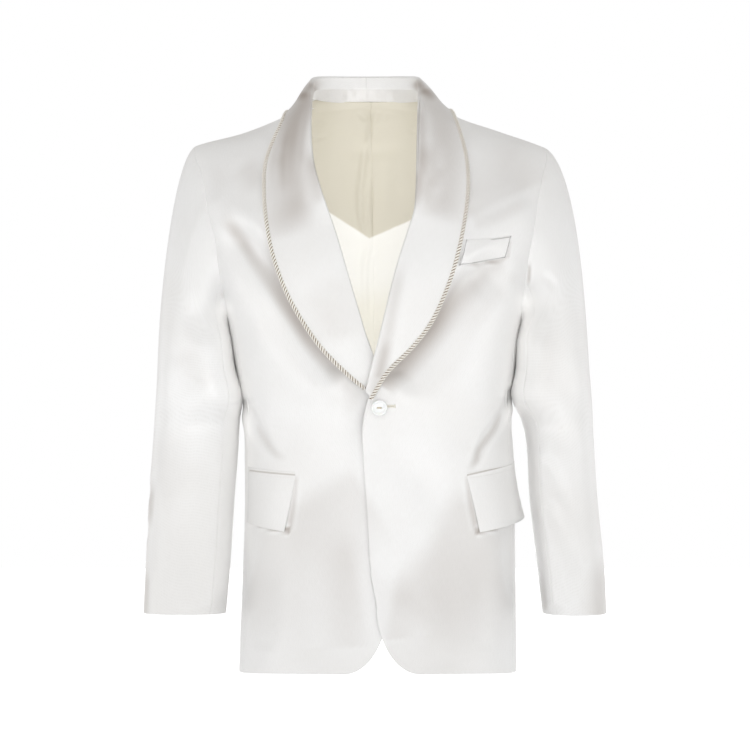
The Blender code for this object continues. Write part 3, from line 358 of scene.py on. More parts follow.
# bands of painted shade, in creases, under edges and where the light falls off, and of painted light, for
# each kind of piece
paintedShading = dict(
    band=(paintedShadeLine(30, 0.16, 0.05, 0.05, (-80, 30), (0, 28), (80, 30)),),
    body=(
        # along the rope and down from the welt
        paintedShadeLine(11, 0.58, 0.3, 0.3, (-140.5, -142.4), (-124.2, -192.6), (-105.4, -239.1), (-77.7, -290.5),
                  (-42.6, -330.7), (-6.2, -360.9), upper=8),
        paintedShadeLine(9, 0.42, 0.2, 0.4, (-200.1, -131.8), (-172.4, -156.9), (-147.2, -194.7), (-127.1, -230),
                  (-101.9, -270.3), (-69.2, -310.6)),
        paintedShadeLine(26, 0.12, 0.3, 0.1, (-109.1, -252.9), (-80.3, -305.6), (-45.1, -345.8), (-11.2, -368.4),
                  upper=6),
        paintedShadeLine(9, 0.58, 0.5, 0.03, (126.9, -180.1), (104.3, -225.3), (72.9, -271.7), (40.3, -310.6),
                  (7.6, -350.8), upper=18),
        paintedShadeLine(12, 0.16, 0.35, 0.1, (121.9, -205.2), (96.8, -255.4), (64.1, -305.6), (29, -345.8),
                  upper=38),
        paintedShadeLine(12, 0.26, 0.2, 0.5, (170.1, -174.6), (144.9, -202.3), (122.2, -232.5), (94.5, -265.2)),
        paintedShadeLine(14, 0.14, 0.15, 0.4, (180.1, -197.2), (155, -227.5), (127.3, -262.7), (97, -300.5)),
        # upper chest
        paintedShadeLine(20, 0.17, 0.4, 0.4, (-173.5, -62.2), (-155.7, -82.4), (-138, -110.3)),
        paintedShadeLine(16, 0.08, 0.4, 0.4, (-213.3, -51.2), (-191.8, -102), (-156.2, -150.3)),
        paintedShadeLine(16, 0.08, 0.3, 0.3, (-202.4, -30.7), (-157.6, -17.9), (-125.5, -7.7)),
        paintedShadeLine(7, 0.17, 0.1, 0.3, (100.1, -143.2), (140.7, -120.4), (181.2, -100.2), (236.9, -72.3),
                  upper=40),
        paintedShadeLine(26, 0.07, 0.2, 0.2, (113.1, -13.1), (151.2, -35.9), (191.9, -61.3)),
        paintedShadeLine(11, 0.14, 0.1, 0.3, (122.6, -145), (160.5, -132.4), (205.9, -107.2)),
        # skirts
        paintedShadeLine(85, 0.15, 0.35, 0.1, (-154.3, -550.4), (-101.6, -521.5), (-56.4, -493.9), (-11.2, -466.3),
                  upper=20),
        paintedShadeLine(24, 0.12, 0.4, 0.02, (-41.3, -519), (-31.3, -581.8), (-26.3, -679.7)),
        paintedShadeLine(20, 0.17, 0.25, 0.15, (121.9, -468.8), (104.3, -519), (74.2, -579.3), (23.9, -642.1),
                  upper=80),
        paintedShadeLine(60, 0.13, 0.1, 0.1, (-166.9, -600.6), (-91.6, -619.5), (-8.7, -606.9), lobe=0),
        paintedShadeLine(22, 0.12, 0.3, 0.02, (13.9, -569.3), (18.9, -619.5), (26.5, -669.7)),
        paintedShadeLine(65, 0.13, 0.1, 0.1, (16.4, -619.5), (96.8, -632), (184.6, -619.5), lobe=0),
        # waist creases
        paintedShadeLine(5, 0.2, 0.2, 0.4, (-160.8, -387.7), (-140.5, -414.3), (-124.1, -435.8), (-105.1, -443.4)),
        paintedShadeLine(4.6, 0.32, 0.15, 0.3, (171.1, -372.5), (153.3, -406.7), (134.3, -430.7), (129.3, -445.9),
                  (116.6, -459.9)),
        # painted shade under the flaps, beside them and under the welt
        paintedShadeLine(2.6, 0.8, 0.05, 0.02, (-158.6, -522.7), (-132.1, -529.6), (-104.4, -534.1), upper=3.2),
        paintedShadeLine(3, 0.24, 0.1, 0.05, (-95.6, -461.7), (-100, -500.7), (-105.1, -533.4)),
        paintedShadeLine(3.2, 0.26, 0.1, 0.05, (117.8, -461.7), (123.5, -500.7), (130.4, -533.4)),
        paintedShadeLine(2.6, 0.8, 0.02, 0.05, (128.9, -535.3), (160.5, -529.6), (193.3, -519.5), upper=3.2),
        paintedShadeLine(2, 0.34, 0.1, 0.1, (111.8, -198.9), (140.7, -195.1), (169.6, -191.4)),
        paintedShadeLine(1.8, 0.24, 0.2, 0.2, (174, -165), (170.2, -191.4)),
        # armholes low down
        paintedShadeLine(2.8, 0.22, 0.3, 0.2, (-194.7, -219.1), (-189.6, -253.7), (-184.5, -283.2)),
        paintedShadeLine(2.6, 0.42, 0.3, 0.3, (199.9, -192.2), (199.9, -207.6), (198.7, -224.2)),
        paintedShadeLine(2.8, 0.2, 0.3, 0.2, (194.8, -228.1), (189.7, -264), (184.6, -298.6)),
        paintedShadeLine(1.6, 0.3, 0.3, 0.3, (80.9, -184.2), (85.9, -199.3), (92.3, -212)),
        # sleeves
        paintedShadeLine(6, 0.42, 0.4, 0.4, (-284.8, -467.2), (-286.7, -504.6), (-288, -539.4)),
        paintedShadeLine(6, 0.18, 0.3, 0.02, (-287.4, -420.8), (-290, -498.1), (-292.5, -575.4), (-293.8, -642.5)),
        paintedShadeLine(5.5, 0.38, 0.4, 0.02, (-290, -580.6), (-291.3, -614.1), (-292.5, -643.7)),
        paintedShadeLine(21, 0.27, 0.5, 0.02, (296.5, -556.1), (292.6, -603.8), (288.7, -643.7), lobe=0),
        paintedShadeLine(4.6, 0.36, 0.3, 0.05, (203.7, -464.6), (208.8, -504.6), (212.7, -549.7), (216.6, -594.8),
                  (220.4, -642.5)),
        paintedShadeLine(20, 0.1, 0.3, 0.3, (-247.3, -299.8), (-226.8, -328), (-208.8, -361.3), lobe=0),
        paintedShadeLine(13, 0.08, 0.3, 0.3, (224.3, -274.2), (221.7, -317.8), (216.6, -366.5), lobe=0),
        paintedShadeLine(20, 0.05, 0.3, 0.3, (-258.3, -394.8), (-266, -459.1), (-273.7, -523.3), lobe=0),
        # painted light where the sleeves lie against the body
        paintedShadeLine(14, -1, 0.15, 0.03, (198.5, -222.3), (192.1, -272.6), (184.3, -317.7), (177.9, -369.2),
                  lobe=0),
        paintedShadeLine(10, -0.9, 0.05, 0.25, (179.2, -364.1), (188.2, -407.9), (194.6, -459.4), (199.8, -511),
                  (206.2, -562.5), (215.3, -627), lobe=0),
        paintedShadeLine(11, -0.9, 0.05, 0.3, (178.9, -366.4), (177.6, -432.8), (180.2, -496.7), (180.2, -573.4),
                  (180.2, -632.2), lobe=0),
        paintedShadeLine(14, -1, 0.15, 0.03, (-194.6, -235.2), (-186.9, -279), (-179.1, -324.1), (-170.1, -371.8),
                  lobe=0),
        paintedShadeLine(14, -1, 0.05, 0.1, (-171.4, -366.6), (-174, -420.8), (-177.8, -485.2), (-181.7, -549.7),
                  (-186.9, -637.3), lobe=0),
        paintedShadeLine(9, -0.7, 0.05, 0.3, (-163.5, -368.9), (-162.2, -432.8), (-162.2, -522.3),
                  (-163.5, -611.7), lobe=0),
    ),
    trim=(
        paintedShadeLine(1.1, 0.62, 0.05, 0.05, (-159.8, -459.1), (-128.4, -461.2), (-95.6, -463.2)),
        paintedShadeLine(1.1, 0.62, 0.05, 0.05, (115.9, -463.9), (147.4, -457.6), (180.1, -450.8)),
        paintedShadeLine(12, -0.9, 0.02, 0.02, (180.7, -448.5), (185.8, -484.4), (191, -522.8), lobe=0),
    ),
    collar=(
        paintedShadeLine(15.5, 0.32, 0.05, 0.4, (-71.1, 40.3), (-88.9, 8.5), (-100.3, -23.2), (-104.1, -63.9),
                  (-95.2, -109.6)),
        paintedShadeLine(30, 0.33, 0.05, 0.3, (-87.6, 32.7), (-105.4, -13.1), (-113, -70.2), (-110.5, -142.6),
                  (-106, -170)),
        paintedShadeLine(3.2, 0.07, 0.3, 0.4, (-81.2, 12.3), (-88.9, -38.5), (-92.7, -95.6)),
        paintedShadeLine(3.2, 0.06, 0.3, 0.4, (-107.9, -15.6), (-114.3, -63.9), (-111.7, -121.1)),
        paintedShadeLine(2.8, 0.06, 0.3, 0.4, (-121.9, -38.5), (-128.2, -70.2), (-127, -108.3)),
        paintedShadeLine(30, 0.34, 0.05, 0.28, (64.8, 35.2), (82.6, -0.4), (89, -51.2), (85.2, -121.1), (80, -150)),
        paintedShadeLine(6, 0.3, 0.2, 0.4, (52.6, 48.7), (61.5, 35.9), (65.4, 18)),
        paintedShadeLine(6, 0.22, 0.2, 0.3, (58.5, 7.2), (61, -38.5), (57.2, -109.6)),
        paintedShadeLine(7, 0.08, 0.3, 0.3, (86.4, -71.5), (80.1, -89.3), (69.9, -104.5)),
        paintedShadeLine(17, 0.22, 0.25, 0.35, (-69.6, -36.8), (-77.2, -71), (-84.8, -102.7), (-92.4, -130.5),
                  (-97.5, -153.3)),
        paintedShadeLine(10, 0.24, 0.25, 0.35, (67.2, -36.8), (65.9, -71), (62.1, -102.7), (59.6, -130.5)),
        paintedShadeLine(8, 0.2, 0.3, 0.03, (39, -187.6), (27.7, -237.8), (18.9, -288), (7.6, -343.3)),
        paintedShadeLine(30, 0.07, 0.3, 0.2, (-41.3, -205.2), (-46.4, -249.1), (-36.3, -299.3)),
        paintedShadeLine(8, 0.42, 0.3, 0.4, (-96.9, 13.3), (-89.2, 28.8), (-73.7, 43), (-47.8, 49.5)),
        paintedShadeLine(8, 0.42, 0.4, 0.3, (32.3, 49.5), (55.6, 43), (71.1, 28.8), (78.9, 13.3)),
        paintedShadeLine(8.5, 0.26, 0.3, 0.25, (-77.2, -52), (-69.6, -90), (-64.5, -130.5)),
        paintedShadeLine(12, 0.11, 0.3, 0.3, (-121.9, -48.6), (-113, -79.1), (-109.2, -112.2), lobe=0),
        paintedShadeLine(5, 0.22, 0.3, 0.3, (56, -74.1), (54.7, -104.5), (50.9, -135)),
        paintedShadeLine(7.5, 0.22, 0.3, 0.02, (18.9, -288), (10.1, -325.7), (1.3, -360.9), lobe=0),
        paintedShadeLine(20, 0.06, 0.3, 0.2, (-84, -225.3), (-63.9, -257.9), (-36.3, -305.6), lobe=0),
    ),
)
sleeveFolds = dict(
    right=(
        sleeveLine(24, -8.5, 0.3, 0.3, (122, -250), (122, -310), (122, -360), (122, -402), lobe=0),
        sleeveLine(32, -8, 0.3, 0.3, (150, -245), (150, -300), (150, -350), (150, -396), lobe=0),
        sleeveLine(20, -4, 0.2, 0.05, (126, -400), (126, -480), (126, -560), (126, -640), lobe=0),
        sleeveLine(15, 1.3, 0.1, 0.5, (95, -335), (70, -360), (40, -390), (15, -425)),
        sleeveLine(13, 1, 0.1, 0.6, (110, -390), (85, -408), (55, -425)),
        sleeveLine(10, 1.8, 0.3, 0.5, (118, -300), (96, -270), (80, -230)),
        sleeveLine(16, 1.8, 0.4, 0.4, (60, -150), (66, -230), (78, -330), (90, -420)),
        sleeveLine(9, 1.3, 0.5, 0.5, (35, -470), (12, -486), (-12, -490)),
        sleeveLine(10, 1.2, 0.5, 0.5, (30, -520), (8, -536), (-14, -545)),
        sleeveLine(14, 1.2, 0.5, 0.3, (75, -470), (82, -530), (86, -600)),
        sleeveLine(14, 1.8, 0.5, 0.5, (-60, -300), (-85, -350), (-100, -410)),
        sleeveLine(10, 1.4, 0.4, 0.4, (-50, -440), (-80, -470), (-105, -480)),
    ),
    left=(
        sleeveLine(24, -8.5, 0.3, 0.3, (122, -250), (122, -310), (122, -360), (122, -402), lobe=0),
        sleeveLine(32, -9.5, 0.3, 0.3, (150, -245), (150, -300), (150, -350), (150, -396), lobe=0),
        sleeveLine(20, -4, 0.2, 0.05, (126, -400), (126, -480), (126, -560), (126, -640), lobe=0),
        sleeveLine(15, 1.3, 0.1, 0.5, (100, -330), (76, -352), (50, -385), (22, -430)),
        sleeveLine(13, 1.1, 0.1, 0.6, (112, -395), (90, -415), (62, -436)),
        sleeveLine(5.5, 1.6, 0.3, 0.5, (104, -205), (92, -218), (84, -236)),
        sleeveLine(16, 1.6, 0.4, 0.4, (58, -160), (64, -240), (74, -330), (84, -420)),
        sleeveLine(9, 2, 0.1, 0.5, (120, -440), (104, -470), (92, -500), (84, -540)),
        sleeveLine(9, 2, 0.1, 0.3, (124, -500), (108, -520), (96, -552), (90, -600)),
        sleeveLine(8, 1, 0.5, 0.5, (60, -600), (40, -615), (18, -622)),
        sleeveLine(14, 1.8, 0.5, 0.5, (-55, -310), (-80, -355), (-98, -405)),
        sleeveLine(10, 1.4, 0.4, 0.4, (-45, -455), (-76, -480), (-104, -492)),
    ),
)


def smoothLine(points, count):
    keys = np.arange(len(points), dtype=float)
    table = [(k, *point) for k, point in zip(keys, points)]
    at = np.linspace(0.0, keys[-1], count)
    return np.stack([tableCurve(table, at, i + 1) for i in range(len(points[0]))], axis=-1)


softness = dict(samples=25, reach=3.5, lobeAt=1.9, lobeWidth=0.8)


def foldDepth(folds, a, b, scale=(1.0, 1.0)):
    # how far in the cloth lies at each place, from every fold near it
    here = np.stack((a * scale[0], b * scale[1]), axis=-1)
    lowest, highest = here.min(axis=(0, 1)), here.max(axis=(0, 1))
    total = np.zeros_like(a)
    for fold in folds:
        line = smoothLine(fold["points"], softness["samples"]) * scale
        reachOut = softness["reach"] * max(fold["width"], fold["upper"])
        if np.any(line.max(axis=0) + reachOut < lowest) or np.any(line.min(axis=0) - reachOut > highest):
            continue
        best = np.full(a.shape, 1e9)
        along, beside = np.zeros_like(a), np.zeros_like(a)
        for i in range(len(line) - 1):
            run = line[i + 1] - line[i]
            offset = here - line[i]
            t = np.clip((offset @ run) / (run @ run), 0.0, 1.0)
            away = np.linalg.norm(offset - t[..., None] * run, axis=-1)
            near = away < best
            best = np.where(near, away, best)
            along = np.where(near, (i + t) / (len(line) - 1), along)
            beside = np.where(near, run[0] * offset[..., 1] - run[1] * offset[..., 0], beside)
        taper = smoothStep(along / fold["start"]) * smoothStep((1 - along) / fold["end"])
        reach = best / np.where(beside > 0, fold["upper"], fold["width"])
        beyond = fold["lobe"] * np.exp(-((reach - softness["lobeAt"]) / softness["lobeWidth"]) ** 2)
        total += fold["depth"] * taper * (np.exp(-reach**2) - beyond)
    return total


def gridNormals(grid):
    return unit(np.cross(np.gradient(grid, axis=1), np.gradient(grid, axis=0)))


# the last two set the painted shade: how it fades from front to back, and how much the back's folds get for
# each metre of their depth
drape = dict(middleX=0.004, depthWeight=1.6, sideBlend=0.05, ridgeFade=0.03, paintedShadeFade=0.04,
             paintedShadePerMetre=30)


def bodyDrape(grid):
    # the body's folds pressed into a grid, along normals that point away from the body's middle
    normal = gridNormals(grid)
    outwards = np.stack((grid[..., 0] - drape["middleX"], grid[..., 1] * drape["depthWeight"],
                         0.0 * grid[..., 0]), axis=-1)
    normal = normal * np.sign(np.sum(normal * outwards, axis=-1))[..., None]
    behind = smoothStep(grid[..., 1] / drape["sideBlend"] + 0.5)
    x, z = grid[..., 0], grid[..., 2]
    depth = foldDepth(bodyFolds["front"], x, z) * (1 - behind) + foldDepth(bodyFolds["back"], x, z) * behind
    top = smoothStep((ridgeZ(x) - z) / drape["ridgeFade"])
    return grid - normal * (depth * top)[..., None]


def paintedShadingOf(grid, lines, middle=0.0):
    # painted shade, up to 1 under edges and in creases, and painted light below 0; behind the middle only
    # painted shade in the back's folds
    x, z = grid[..., 0], grid[..., 2]
    ahead = 1.0
    if lines is not paintedShading["band"]:
        ahead = smoothStep(0.5 - (grid[..., 1] - middle) / drape["paintedShadeFade"])
    paintedCreaseShade = foldDepth(bodyFolds["back"], x, z) * drape["paintedShadePerMetre"] * (1 - ahead)
    return np.clip(foldDepth(lines, x, z) * ahead + paintedCreaseShade, -1.0, 1.0)


def nearShoulder(t):
    # from 0 to 1 over the last rows of the chest, which turn into the shoulder seam
    return smoothStep((t - body["shoulderFrom"]) / (1 - body["shoulderFrom"]))


# grids of points for the pieces, in rows across: from the hem up, or from the armhole down a sleeve
def frontGrid(hand, bodyRows, chestRows, columns):
    edgeColumn = 1 if hand > 0 else 2
    table = collarLeft if hand > 0 else collarRight
    beside = [(row[2], row[0] + hand * body["foldInset"]) for row in table[1:] if row[1] is None]
    edge = ([(row[0], row[edgeColumn]) for row in frontEdge] + beside
            + [(row[0], row[edgeColumn]) for row in neckEdge])
    cornerZ = frontEdge[0][0]
    chest = body["chest"]
    seamHem = frontHem(body["sideSeam"])

    def edgeX(z):
        return tableCurve(edge, z, 1)
    hemX = edgeX(cornerZ) + (lean(seamHem) + hand * body["sideSeam"] * halfWidth(seamHem)
                             - edgeX(cornerZ)) * columns
    inset = np.clip(1 - np.abs(hemX - hemX[0]) / body["quarterWidth"], 0.0, 1.0)
    bottom = (frontHem(np.abs(hemX - lean(seamHem)) / halfWidth(seamHem))
              + body["quarterRise"] * (1 - np.sqrt(1 - inset**2)))
    rows = []
    for t in bodyRows:
        outerZ = seamHem + (chest - seamHem) * t
        outerX = lean(outerZ) + hand * body["sideSeam"] * halfWidth(outerZ)
        innerX = edgeX(cornerZ + (chest - cornerZ) * t)
        across = innerX + (outerX - innerX) * columns
        keep = smoothStep(t / body["cornerBlend"])
        across = hemX * (1 - keep) + across * keep
        rows.append((across, bottom + (chest - bottom) * t))
    topX = lean(0.0) + hand * (body["neckPoint"] + (armholeEdge[-1][1] - body["neckPoint"]) * columns)
    topZ = ridgeZ(topX)
    for t in chestRows[1:]:
        z = chest + (topZ - chest) * t
        innerX = edgeX(z[0])
        outerX = lean(z[-1]) + hand * tableCurve(armholeEdge, z[-1], 1)
        near = nearShoulder(t)
        rows.append(((innerX + (outerX - innerX) * columns) * (1 - near) + topX * near, z))
    x = np.array([row[0] for row in rows])
    z = np.array([row[1] for row in rows])
    return onBody(x, z, -1, -tuck(x, z, hand))


def backGrid(hand, bodyRows, chestRows, columns, lift=0.0):
    # columns are shares of the way from centre back to the armhole
    reach = armholeEdge[-1][1]
    topX = lean(0.0) + hand * reach * columns
    topZ = ridgeZ(topX)
    neckTop = ridgeZ(lean(0.0) + hand * body["neckPoint"])
    neckShare = np.clip(reach * columns / body["neckPoint"], 0.0, 1.0)
    topZ = np.where(neckShare < 1, body["backNeck"] + (neckTop - body["backNeck"]) * neckShare**2, topZ)
    chest, seam = body["chest"], body["sideSeam"]
    x, z = [], []
    for t in bodyRows:
        seamZ = backHem(seam) + (chest - backHem(seam)) * t
        bottom = backHem(columns * seam)
        z.append(bottom + (chest - bottom) * t)
        x.append(lean(z[-1]) + hand * seam * halfWidth(seamZ) * columns)
    for t in chestRows[1:]:
        z.append(chest + (topZ - chest) * t)
        near = nearShoulder(t)
        wide = lean(z[-1]) + hand * tableCurve(armholeEdge, z[-1][-1], 1) * columns
        x.append(wide * (1 - near) + topX * near)
    return onBody(np.array(x), np.array(z), 1, lift)


def sideGrid(hand, columns, bodyRows, frontSeam, backSeam):
    reachAngle = seamAngle(body["sideSeam"])
    angles = reachAngle * (2 * columns - 1)
    side = np.where(angles < 0, -1, 1)
    share = np.cos(np.radians(angles)) ** (2 / body["roundness"])
    reach = np.abs(angles) / reachAngle
    lowest = frontHem(1)
    bottom = np.where(side < 0, frontHem(share), lowest + (backHem(body["sideSeam"]) - lowest) * reach**2)
    top = body["underarm"] + (body["chest"] - body["underarm"]) * reach**2
    grid = np.array([onRing(angles, bottom + (top - bottom) * t, hand) for t in bodyRows])
    grid[:, 0] = frontSeam
    grid[:, -1] = backSeam
    return grid


def sleeveGrid(hand, loop, fromAngle, toAngle, shares, headRows, armRows):
    # from the armhole's loop down to the cuff, over one share of the way round
    table = sleeveLeft if hand > 0 else sleeveRight
    folds = sleeveFolds["left" if hand > 0 else "right"]
    lengths = lengthsAlong(loop)
    lowest = int(np.argmin(loop[:, 2]))
    around = np.where(np.arange(len(loop)) <= lowest, 180 * lengths / lengths[lowest],
                      180 + 180 * (lengths - lengths[lowest]) / (lengths[-1] - lengths[lowest]))
    degrees = (fromAngle + (toAngle - fromAngle) * shares) % 360
    edge = np.stack([np.interp(degrees, around, loop[:, i]) for i in range(3)], axis=-1)
    angles = np.radians(degrees)
    power = 2 / sleeve["roundness"]
    cos = np.sign(np.cos(angles)) * np.abs(np.cos(angles)) ** power
    sin = np.sign(np.sin(angles)) * np.abs(np.sin(angles)) ** power

    def ring(z):
        middleX, width, middleY, depth = [tableCurve(table, z, i) for i in (1, 2, 3, 4)]
        return np.stack((middleX + hand * width * cos, middleY - depth * sin,
                         np.full(len(cos), z)), axis=1)
    firstZ, cuffZ = table[-1][0], table[0][0]
    end = ring(firstZ)
    endRun = (ring(firstZ - 0.02) - end) / 0.02
    upper = np.clip(np.cos(angles) * 0.5 + 0.5, 0.0, 1.0)
    leave = unit(np.stack((np.full(len(upper), float(hand)), np.zeros(len(upper)),
                           -sleeve["headSlope"] * upper), axis=1))
    gap = sleeve["underarmGap"] + (sleeve["armholeGap"] - sleeve["underarmGap"]) * upper**0.5
    start = edge + leave * gap[:, None]
    headReach = sleeve["headReachLeft"] if hand > 0 else sleeve["headReachRight"]
    low = sleeve["underarmReach"]
    reach = (low + (headReach - low) * upper)[:, None]
    fall = (low + (sleeve["headFall"] - low) * upper)[:, None]
    head = [blendRuns(t, start, leave * reach, end, endRun * fall) for t in headRows]
    grid = np.array(head + [ring(z) for z in (firstZ + (cuffZ - firstZ) * armRows)[1:]])
    # folds, fading out at the armhole
    turned = (degrees + 180) % 360 - 180
    way = np.broadcast_to(turned, grid.shape[:2])
    depth = foldDepth(folds, way, grid[..., 2], (math.radians(1) * sleeve["foldRadius"], 1.0))
    fade = smoothStep(np.linspace(0, 1, len(grid)) / sleeve["foldFade"])[:, None]
    normal = gridNormals(grid)
    armZ = np.clip(grid[:, 0, 2], cuffZ, firstZ)
    middle = np.stack((tableCurve(table, armZ, 1), tableCurve(table, armZ, 3)), axis=-1)[:, None]
    sign = np.sign(np.sum(normal[..., :2] * (grid[..., :2] - middle), axis=-1))
    return grid - normal * (sign * depth * fade)[..., None]


def clearOfBody(points, grow, hand):
    # the collar's points, moved out until they lie this far outside the body
    x, y, z = points[..., 0], points[..., 1], points[..., 2]
    side = np.where(y < body["shoulderY"], -1, 1)
    grow = grow - np.where(side < 0, tuck(x, z, hand), 0.0)
    surfaceY = bodyY(x, z, side, grow)
    outside = (z >= ridgeZ(x) + grow) | (side * (y - surfaceY) >= 0)
    surfaceZ = bodyZ(x, y, side, grow)
    upwards = (z > collar["neckFrom"]) & (surfaceZ - z < np.abs(surfaceY - y))
    moved = points.copy()
    moved[..., 1] = np.where(outside | upwards, y, surfaceY)
    moved[..., 2] = np.where(~outside & upwards, surfaceZ, z)
    return moved


def collarSections(hand, stationCount, inner, roll, outer):
    # sections of one half from its turned-in end over the fold to the outer edge, and the rope's line
    table = collarLeft if hand > 0 else collarRight
    stations = []
    for foldX, foldY, foldZ, ropeX, ropeZ, side, turn, stand in table:
        fold = onBody(foldX, foldZ, -1, -tuck(np.float64(foldX), np.float64(foldZ), hand))
        if foldY is not None:
            fold = np.array((foldX, foldY, foldZ))
        if side == 0:
            line = np.array((ropeX, body["shoulderY"], float(ridgeZ(np.float64(ropeX))) + rope["lift"]))
        else:
            inside = tuck(np.float64(ropeX), np.float64(ropeZ), hand) if side < 0 else 0.0
            line = onBody(ropeX, ropeZ, side, rope["lift"] - inside)
        stations.append((*fold, *line, turn, stand))
    stations = smoothLine(stations, stationCount)
    folds, ropes = stations[:, :3].copy(), stations[:, 3:6]
    chestRows = sum(1 for row in table if row[1] is None) - 1
    onChest = np.arange(stationCount) <= chestRows / (len(table) - 1) * (stationCount - 1)
    seated = onBody(folds[:, 0], folds[:, 2], -1, -tuck(folds[:, 0], folds[:, 2], hand))
    beforeNeck = chestRows / (len(table) - 1) * stationCount - np.arange(stationCount)
    settle = smoothStep(beforeNeck / collar["settleStations"])
    folds = np.where(onChest[:, None], folds + (seated - folds) * settle[:, None], folds)
    ropes = clearOfBody(ropes, rope["lift"], hand)
    tangents = np.gradient(folds, axis=0)
    tangents[-1] = (-hand, 0.0, 0.0)
    span = np.linalg.norm(ropes - folds, axis=1, keepdims=True)
    way = unit(ropes - folds)
    up = unit(-hand * np.cross(tangents, way))
    turn, stand = stations[:, 6:7], stations[:, 7:8]
    down = unit(way * (1 - stand) + np.array((0.0, 0.0, -1.0)) * stand)
    radius = collar["foldRadius"]
    parts = [folds + down * turn * (1 - t) - up * radius for t in inner]
    for t in roll:
        angle = math.pi * (t - 0.5)
        parts.append(folds - way * collar["foldRoll"] * math.cos(angle) + up * radius * math.sin(angle))
    reach = span - rope["radius"] - collar["ropeGap"]
    height = collar["crown"] * np.minimum(1.0, span / collar["crownFullAt"]) ** 2
    for t in outer:
        crown = radius * (1 - t) ** 1.5 + height * math.sin(math.pi * t) * (1 - collar["crownFade"] * t)
        point = folds + way * reach * t + up * crown
        parts.append(clearOfBody(point, collar["lift"], hand))
    return np.stack(parts, axis=1), ropes


def bandGrid(topLine, rows):
    # from the collar's inner edge down to the neck
    x, y = topLine[:, 0], topLine[:, 1]
    neckZ = np.minimum(body["backNeck"], ridgeZ(x))
    neckY = np.maximum(y, bodyY(x, neckZ, 1) - band["inside"])
    start = topLine - np.array((0.0, 0.0, 2 * cloth["seam"]))
    target = np.stack((x, neckY, neckZ + band["above"]), axis=-1)
    return np.array([start + (target - start) * t for t in rows])


band = dict(fromY=-0.012, rows=12, wrinkle=0.0004, depth=0.022, inside=0.0012, above=0.0016)
pocketLift = 0.0010
# at the front end and at the outer end: height of the jet's top, of the flap's top and bottom,
# degrees round the body at the flap's top and bottom, how far it stands off
pocketRight = ((-0.460, -0.4665, -0.535, -56.0, -50.0, 0.0010),
               (-0.4545, -0.4600, -0.526, -17.0, -17.0, 0.0015))
pocketLeft = ((-0.4605, -0.4665, -0.536, -54.5, -47.5, 0.0010),
              (-0.4480, -0.4540, -0.521, -4.0, -2.0, 0.0120))


def pocketGrid(hand, topColumn, bottomColumn, across, down, spreads, puff=0.0):
    front, outer = pocketLeft if hand > 0 else pocketRight
    along, fall = np.meshgrid(across, down)

    def blend(column):
        return front[column] + (outer[column] - front[column]) * along
    top, bottom = blend(topColumn), blend(bottomColumn)
    angle = blend(3) + (blend(4) - blend(3)) * (fall if spreads else 0.0)
    stands = blend(5) * fall**1.5 if spreads else 0.0
    crown = (puff * np.sin(math.pi * np.clip(along, 0, 1)) ** 0.6
             * np.sin(math.pi * np.clip(fall, 0, 1)) ** 0.6)
    z = top + (bottom - top) * fall
    return onRing(angle, z, hand, pocketLift + stands + crown)


# share of the way across, x and z of the welt's lower edge, x and z of its top
weltTable = ((0.0, 0.1065, -0.200, 0.1145, -0.168), (0.5, 0.1370, -0.1955, 0.1440, -0.166),
             (1.0, 0.1670, -0.189, 0.1735, -0.161))
weltForm = dict(puff=0.0007, topInset=0.0008, columns=44, rows=22)


def weltGrid(across, up):
    along, rise = np.meshgrid(across, up)
    lowX, lowZ, topX, topZ = [tableCurve(weltTable, along, i) for i in (1, 2, 3, 4)]
    puff = weltForm["puff"] * np.sin(math.pi * np.clip(rise, 0, 1)) ** 0.7
    return onBody(lowX + (topX - lowX) * rise, lowZ + (topZ - lowZ) * rise, -1, cloth["layer"] + puff)


def closedMesh(mesh):
    # faces turned outwards, smoothly shaded
    shell = bmesh.new()
    shell.from_mesh(mesh)
    if shell.calc_volume(signed=True) < 0:
        bmesh.ops.reverse_faces(shell, faces=shell.faces)
    shell.to_mesh(mesh)
    shell.free()
    mesh.shade_smooth()
    return mesh


